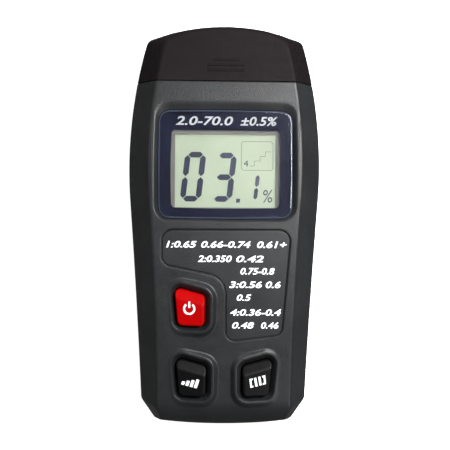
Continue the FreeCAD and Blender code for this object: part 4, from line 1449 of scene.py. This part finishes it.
    def signs(self) -> None:
        """Make the percent sign, and the box with a rising stair and a group number."""
        line, dark = self.on_glass(LCD_LINE), self.on_glass(LCD_SEGMENT)
        box = Outline.rounded(self.box, (12, 12, 12, 12), 6)
        outer, inner = (np.vstack([points, points[:1]])
                        for points in (box.grown(self.line / 2), box.grown(-self.line / 2)))
        patches = [line.bar(a, b, self.line) for a, b in zip(self.stair, self.stair[1:])]
        line.finish_off("panel_lines", patches + [line.strip(outer, inner)])
        dark.finish_off("panel_signs", [], [
            dark.figures("%", (13.1, 16.3), (8.0, 12.4), 0.1, 0.0),
            dark.figures("4", (6.3, 7.9), (20.4, 22.5), 0.0, 0.0)])

    def build(self) -> None:
        """Make the lens, its border and title, and what the panel shows."""
        self.lens()
        self.lens_border()
        self.rim()
        self.title()
        self.reading()
        self.signs()


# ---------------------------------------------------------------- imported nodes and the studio

def dress_nodes() -> None:
    """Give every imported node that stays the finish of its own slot."""
    finishes = {finish.slot: finish for finish in NODE_FINISHES}
    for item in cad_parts.values():
        for place in item.material_slots:
            slot = place.material.name.split(".")[0]
            if slot in finishes:
                place.material = finishes[slot].material()
            log.info("dressed %s in %s", item.name, place.material.name)


@dataclass(frozen=True)
class Lamp:
    """A soft rectangular light: where it hangs and what it faces in metres, size and watts."""

    name: str
    spot: Place
    aim: Place
    size: Pair
    power: float

    def hang(self) -> None:
        """Add the light to the scene, hidden from the camera itself."""
        lamp = bpy.data.lights.new(self.name, "AREA")
        lamp.shape = "RECTANGLE"
        lamp.size, lamp.size_y = self.size
        lamp.energy = self.power
        item = bpy.data.objects.new(self.name, lamp)
        item.location = self.spot
        item.visible_camera = False
        way = Vector(self.aim) - Vector(self.spot)
        item.rotation_euler = way.to_track_quat("-Z", "Y").to_euler()
        bpy.context.scene.collection.objects.link(item)


@dataclass(frozen=True)
class Studio:
    """Pale floor, soft lights and a camera straight over the meter, in metres."""

    lamps: tuple[Lamp, ...] = (
        Lamp("softbox", (0.135, 0.085, 0.26), (0.0, 0.02, 0.02), (0.11, 0.2), 2.4),
        Lamp("fill", (-0.5, 0.1, 0.5), (0.0, 0.0, 0.02), (0.4, 0.5), 0.9),
        Lamp("low_box", (0.1, -0.13, 0.2), (0.03, -0.055, 0.02), (0.04, 0.07), 0.11),
        Lamp("back_panel", (-0.2, 0.55, 0.16), (0.0, 0.05, 0.015), (0.7, 0.3), 2.6),
    )
    floor_half: float = 6.0
    floor_drop: float = 0.00002
    floor_glow: float = 0.8
    room_light: float = 0.17
    room_seen: float = 0.92
    camera_at: Place = (-0.0145, 0.0, 0.409)
    camera_aim: Place = (0.0003, 0.0002, 0.019)
    roll: float = 0.4
    film: float = 36.0
    focus: float = 1113.0
    picture: float = 450.0

    def floor(self) -> None:
        """Lay a wide, faintly uneven sheet under the meter, left out of its reflections."""
        span = np.linspace(-self.floor_half, self.floor_half, 31) / MM
        x, y = np.meshgrid(span, span)
        spot = np.stack([x.ravel(), y.ravel()], 1)
        item = make_mesh("floor", [(ring(spot, -self.floor_drop / MM), grid_quads(31, 31))])
        desk = Desk("floor_paper")
        tone = desk.mix(desk.noise(60.0, 2.0), (0.74, 0.74, 0.74), (0.78, 0.78, 0.78))
        desk.feed(desk.shader.inputs["Base Color"], tone)
        desk.feed(desk.shader.inputs["Emission Color"], (1.0, 1.0, 1.0))
        desk.shader.inputs["Roughness"].default_value = 0.9
        desk.shader.inputs["Specular IOR Level"].default_value = 0.1
        desk.shader.inputs["Emission Strength"].default_value = self.floor_glow
        item.data.materials.append(desk.item)
        item.visible_glossy = False

    def surroundings(self) -> None:
        """Set a pale room behind the floor that adds only a little light of its own."""
        world = bpy.data.worlds.new("surroundings")
        world.use_nodes = True
        tree = world.node_tree
        backdrop = tree.nodes["Background"]
        backdrop.inputs["Color"].default_value = (1.0, 1.0, 1.0, 1.0)
        seen = tree.nodes.new("ShaderNodeMapRange")
        seen.inputs["To Min"].default_value = self.room_light
        seen.inputs["To Max"].default_value = self.room_seen
        rays = tree.nodes.new("ShaderNodeLightPath")
        tree.links.new(rays.outputs["Is Camera Ray"], seen.inputs["Value"])
        tree.links.new(seen.outputs["Result"], backdrop.inputs["Strength"])
        bpy.context.scene.world = world

    def camera(self) -> None:
        """Set the camera over the meter, a little to its left, the top of its view along +Y."""
        lens = bpy.data.cameras.new("camera")
        lens.sensor_width = self.film
        lens.lens = self.film * self.focus / self.picture
        item = bpy.data.objects.new("camera", lens)
        spot = Vector(self.camera_at)
        back = (spot - Vector(self.camera_aim)).normalized()
        right = Vector((0, 1, 0)).cross(back).normalized()
        turn = Matrix((right, back.cross(right), back)).transposed().to_4x4()
        roll = Matrix.Rotation(math.radians(self.roll), 4, "Z")
        item.matrix_world = Matrix.Translation(spot) @ turn @ roll
        bpy.context.scene.collection.objects.link(item)
        bpy.context.scene.camera = item

    def build(self) -> None:
        """Set the floor, the lights, the surroundings and the camera."""
        self.floor()
        for lamp in self.lamps:
            lamp.hang()
        self.surroundings()
        bpy.context.scene.view_settings.view_transform = "Standard"
        self.camera()


def main() -> None:
    """Build the meter's looks in order."""
    logging.basicConfig(level=logging.INFO, format="%(name)s: %(message)s")
    Studio().build()
    FrontShell().build()
    for form, finish in ((POWER, KEY_RED), (MODE, KEY_BLACK), (HOLD, KEY_BLACK)):
        Key(form, finish).build()
    Display().build()
    Label().build()
    KeyMarks().build()
    dress_nodes()
    bpy.context.view_layer.update()


if __name__ == "__main__":
    main()
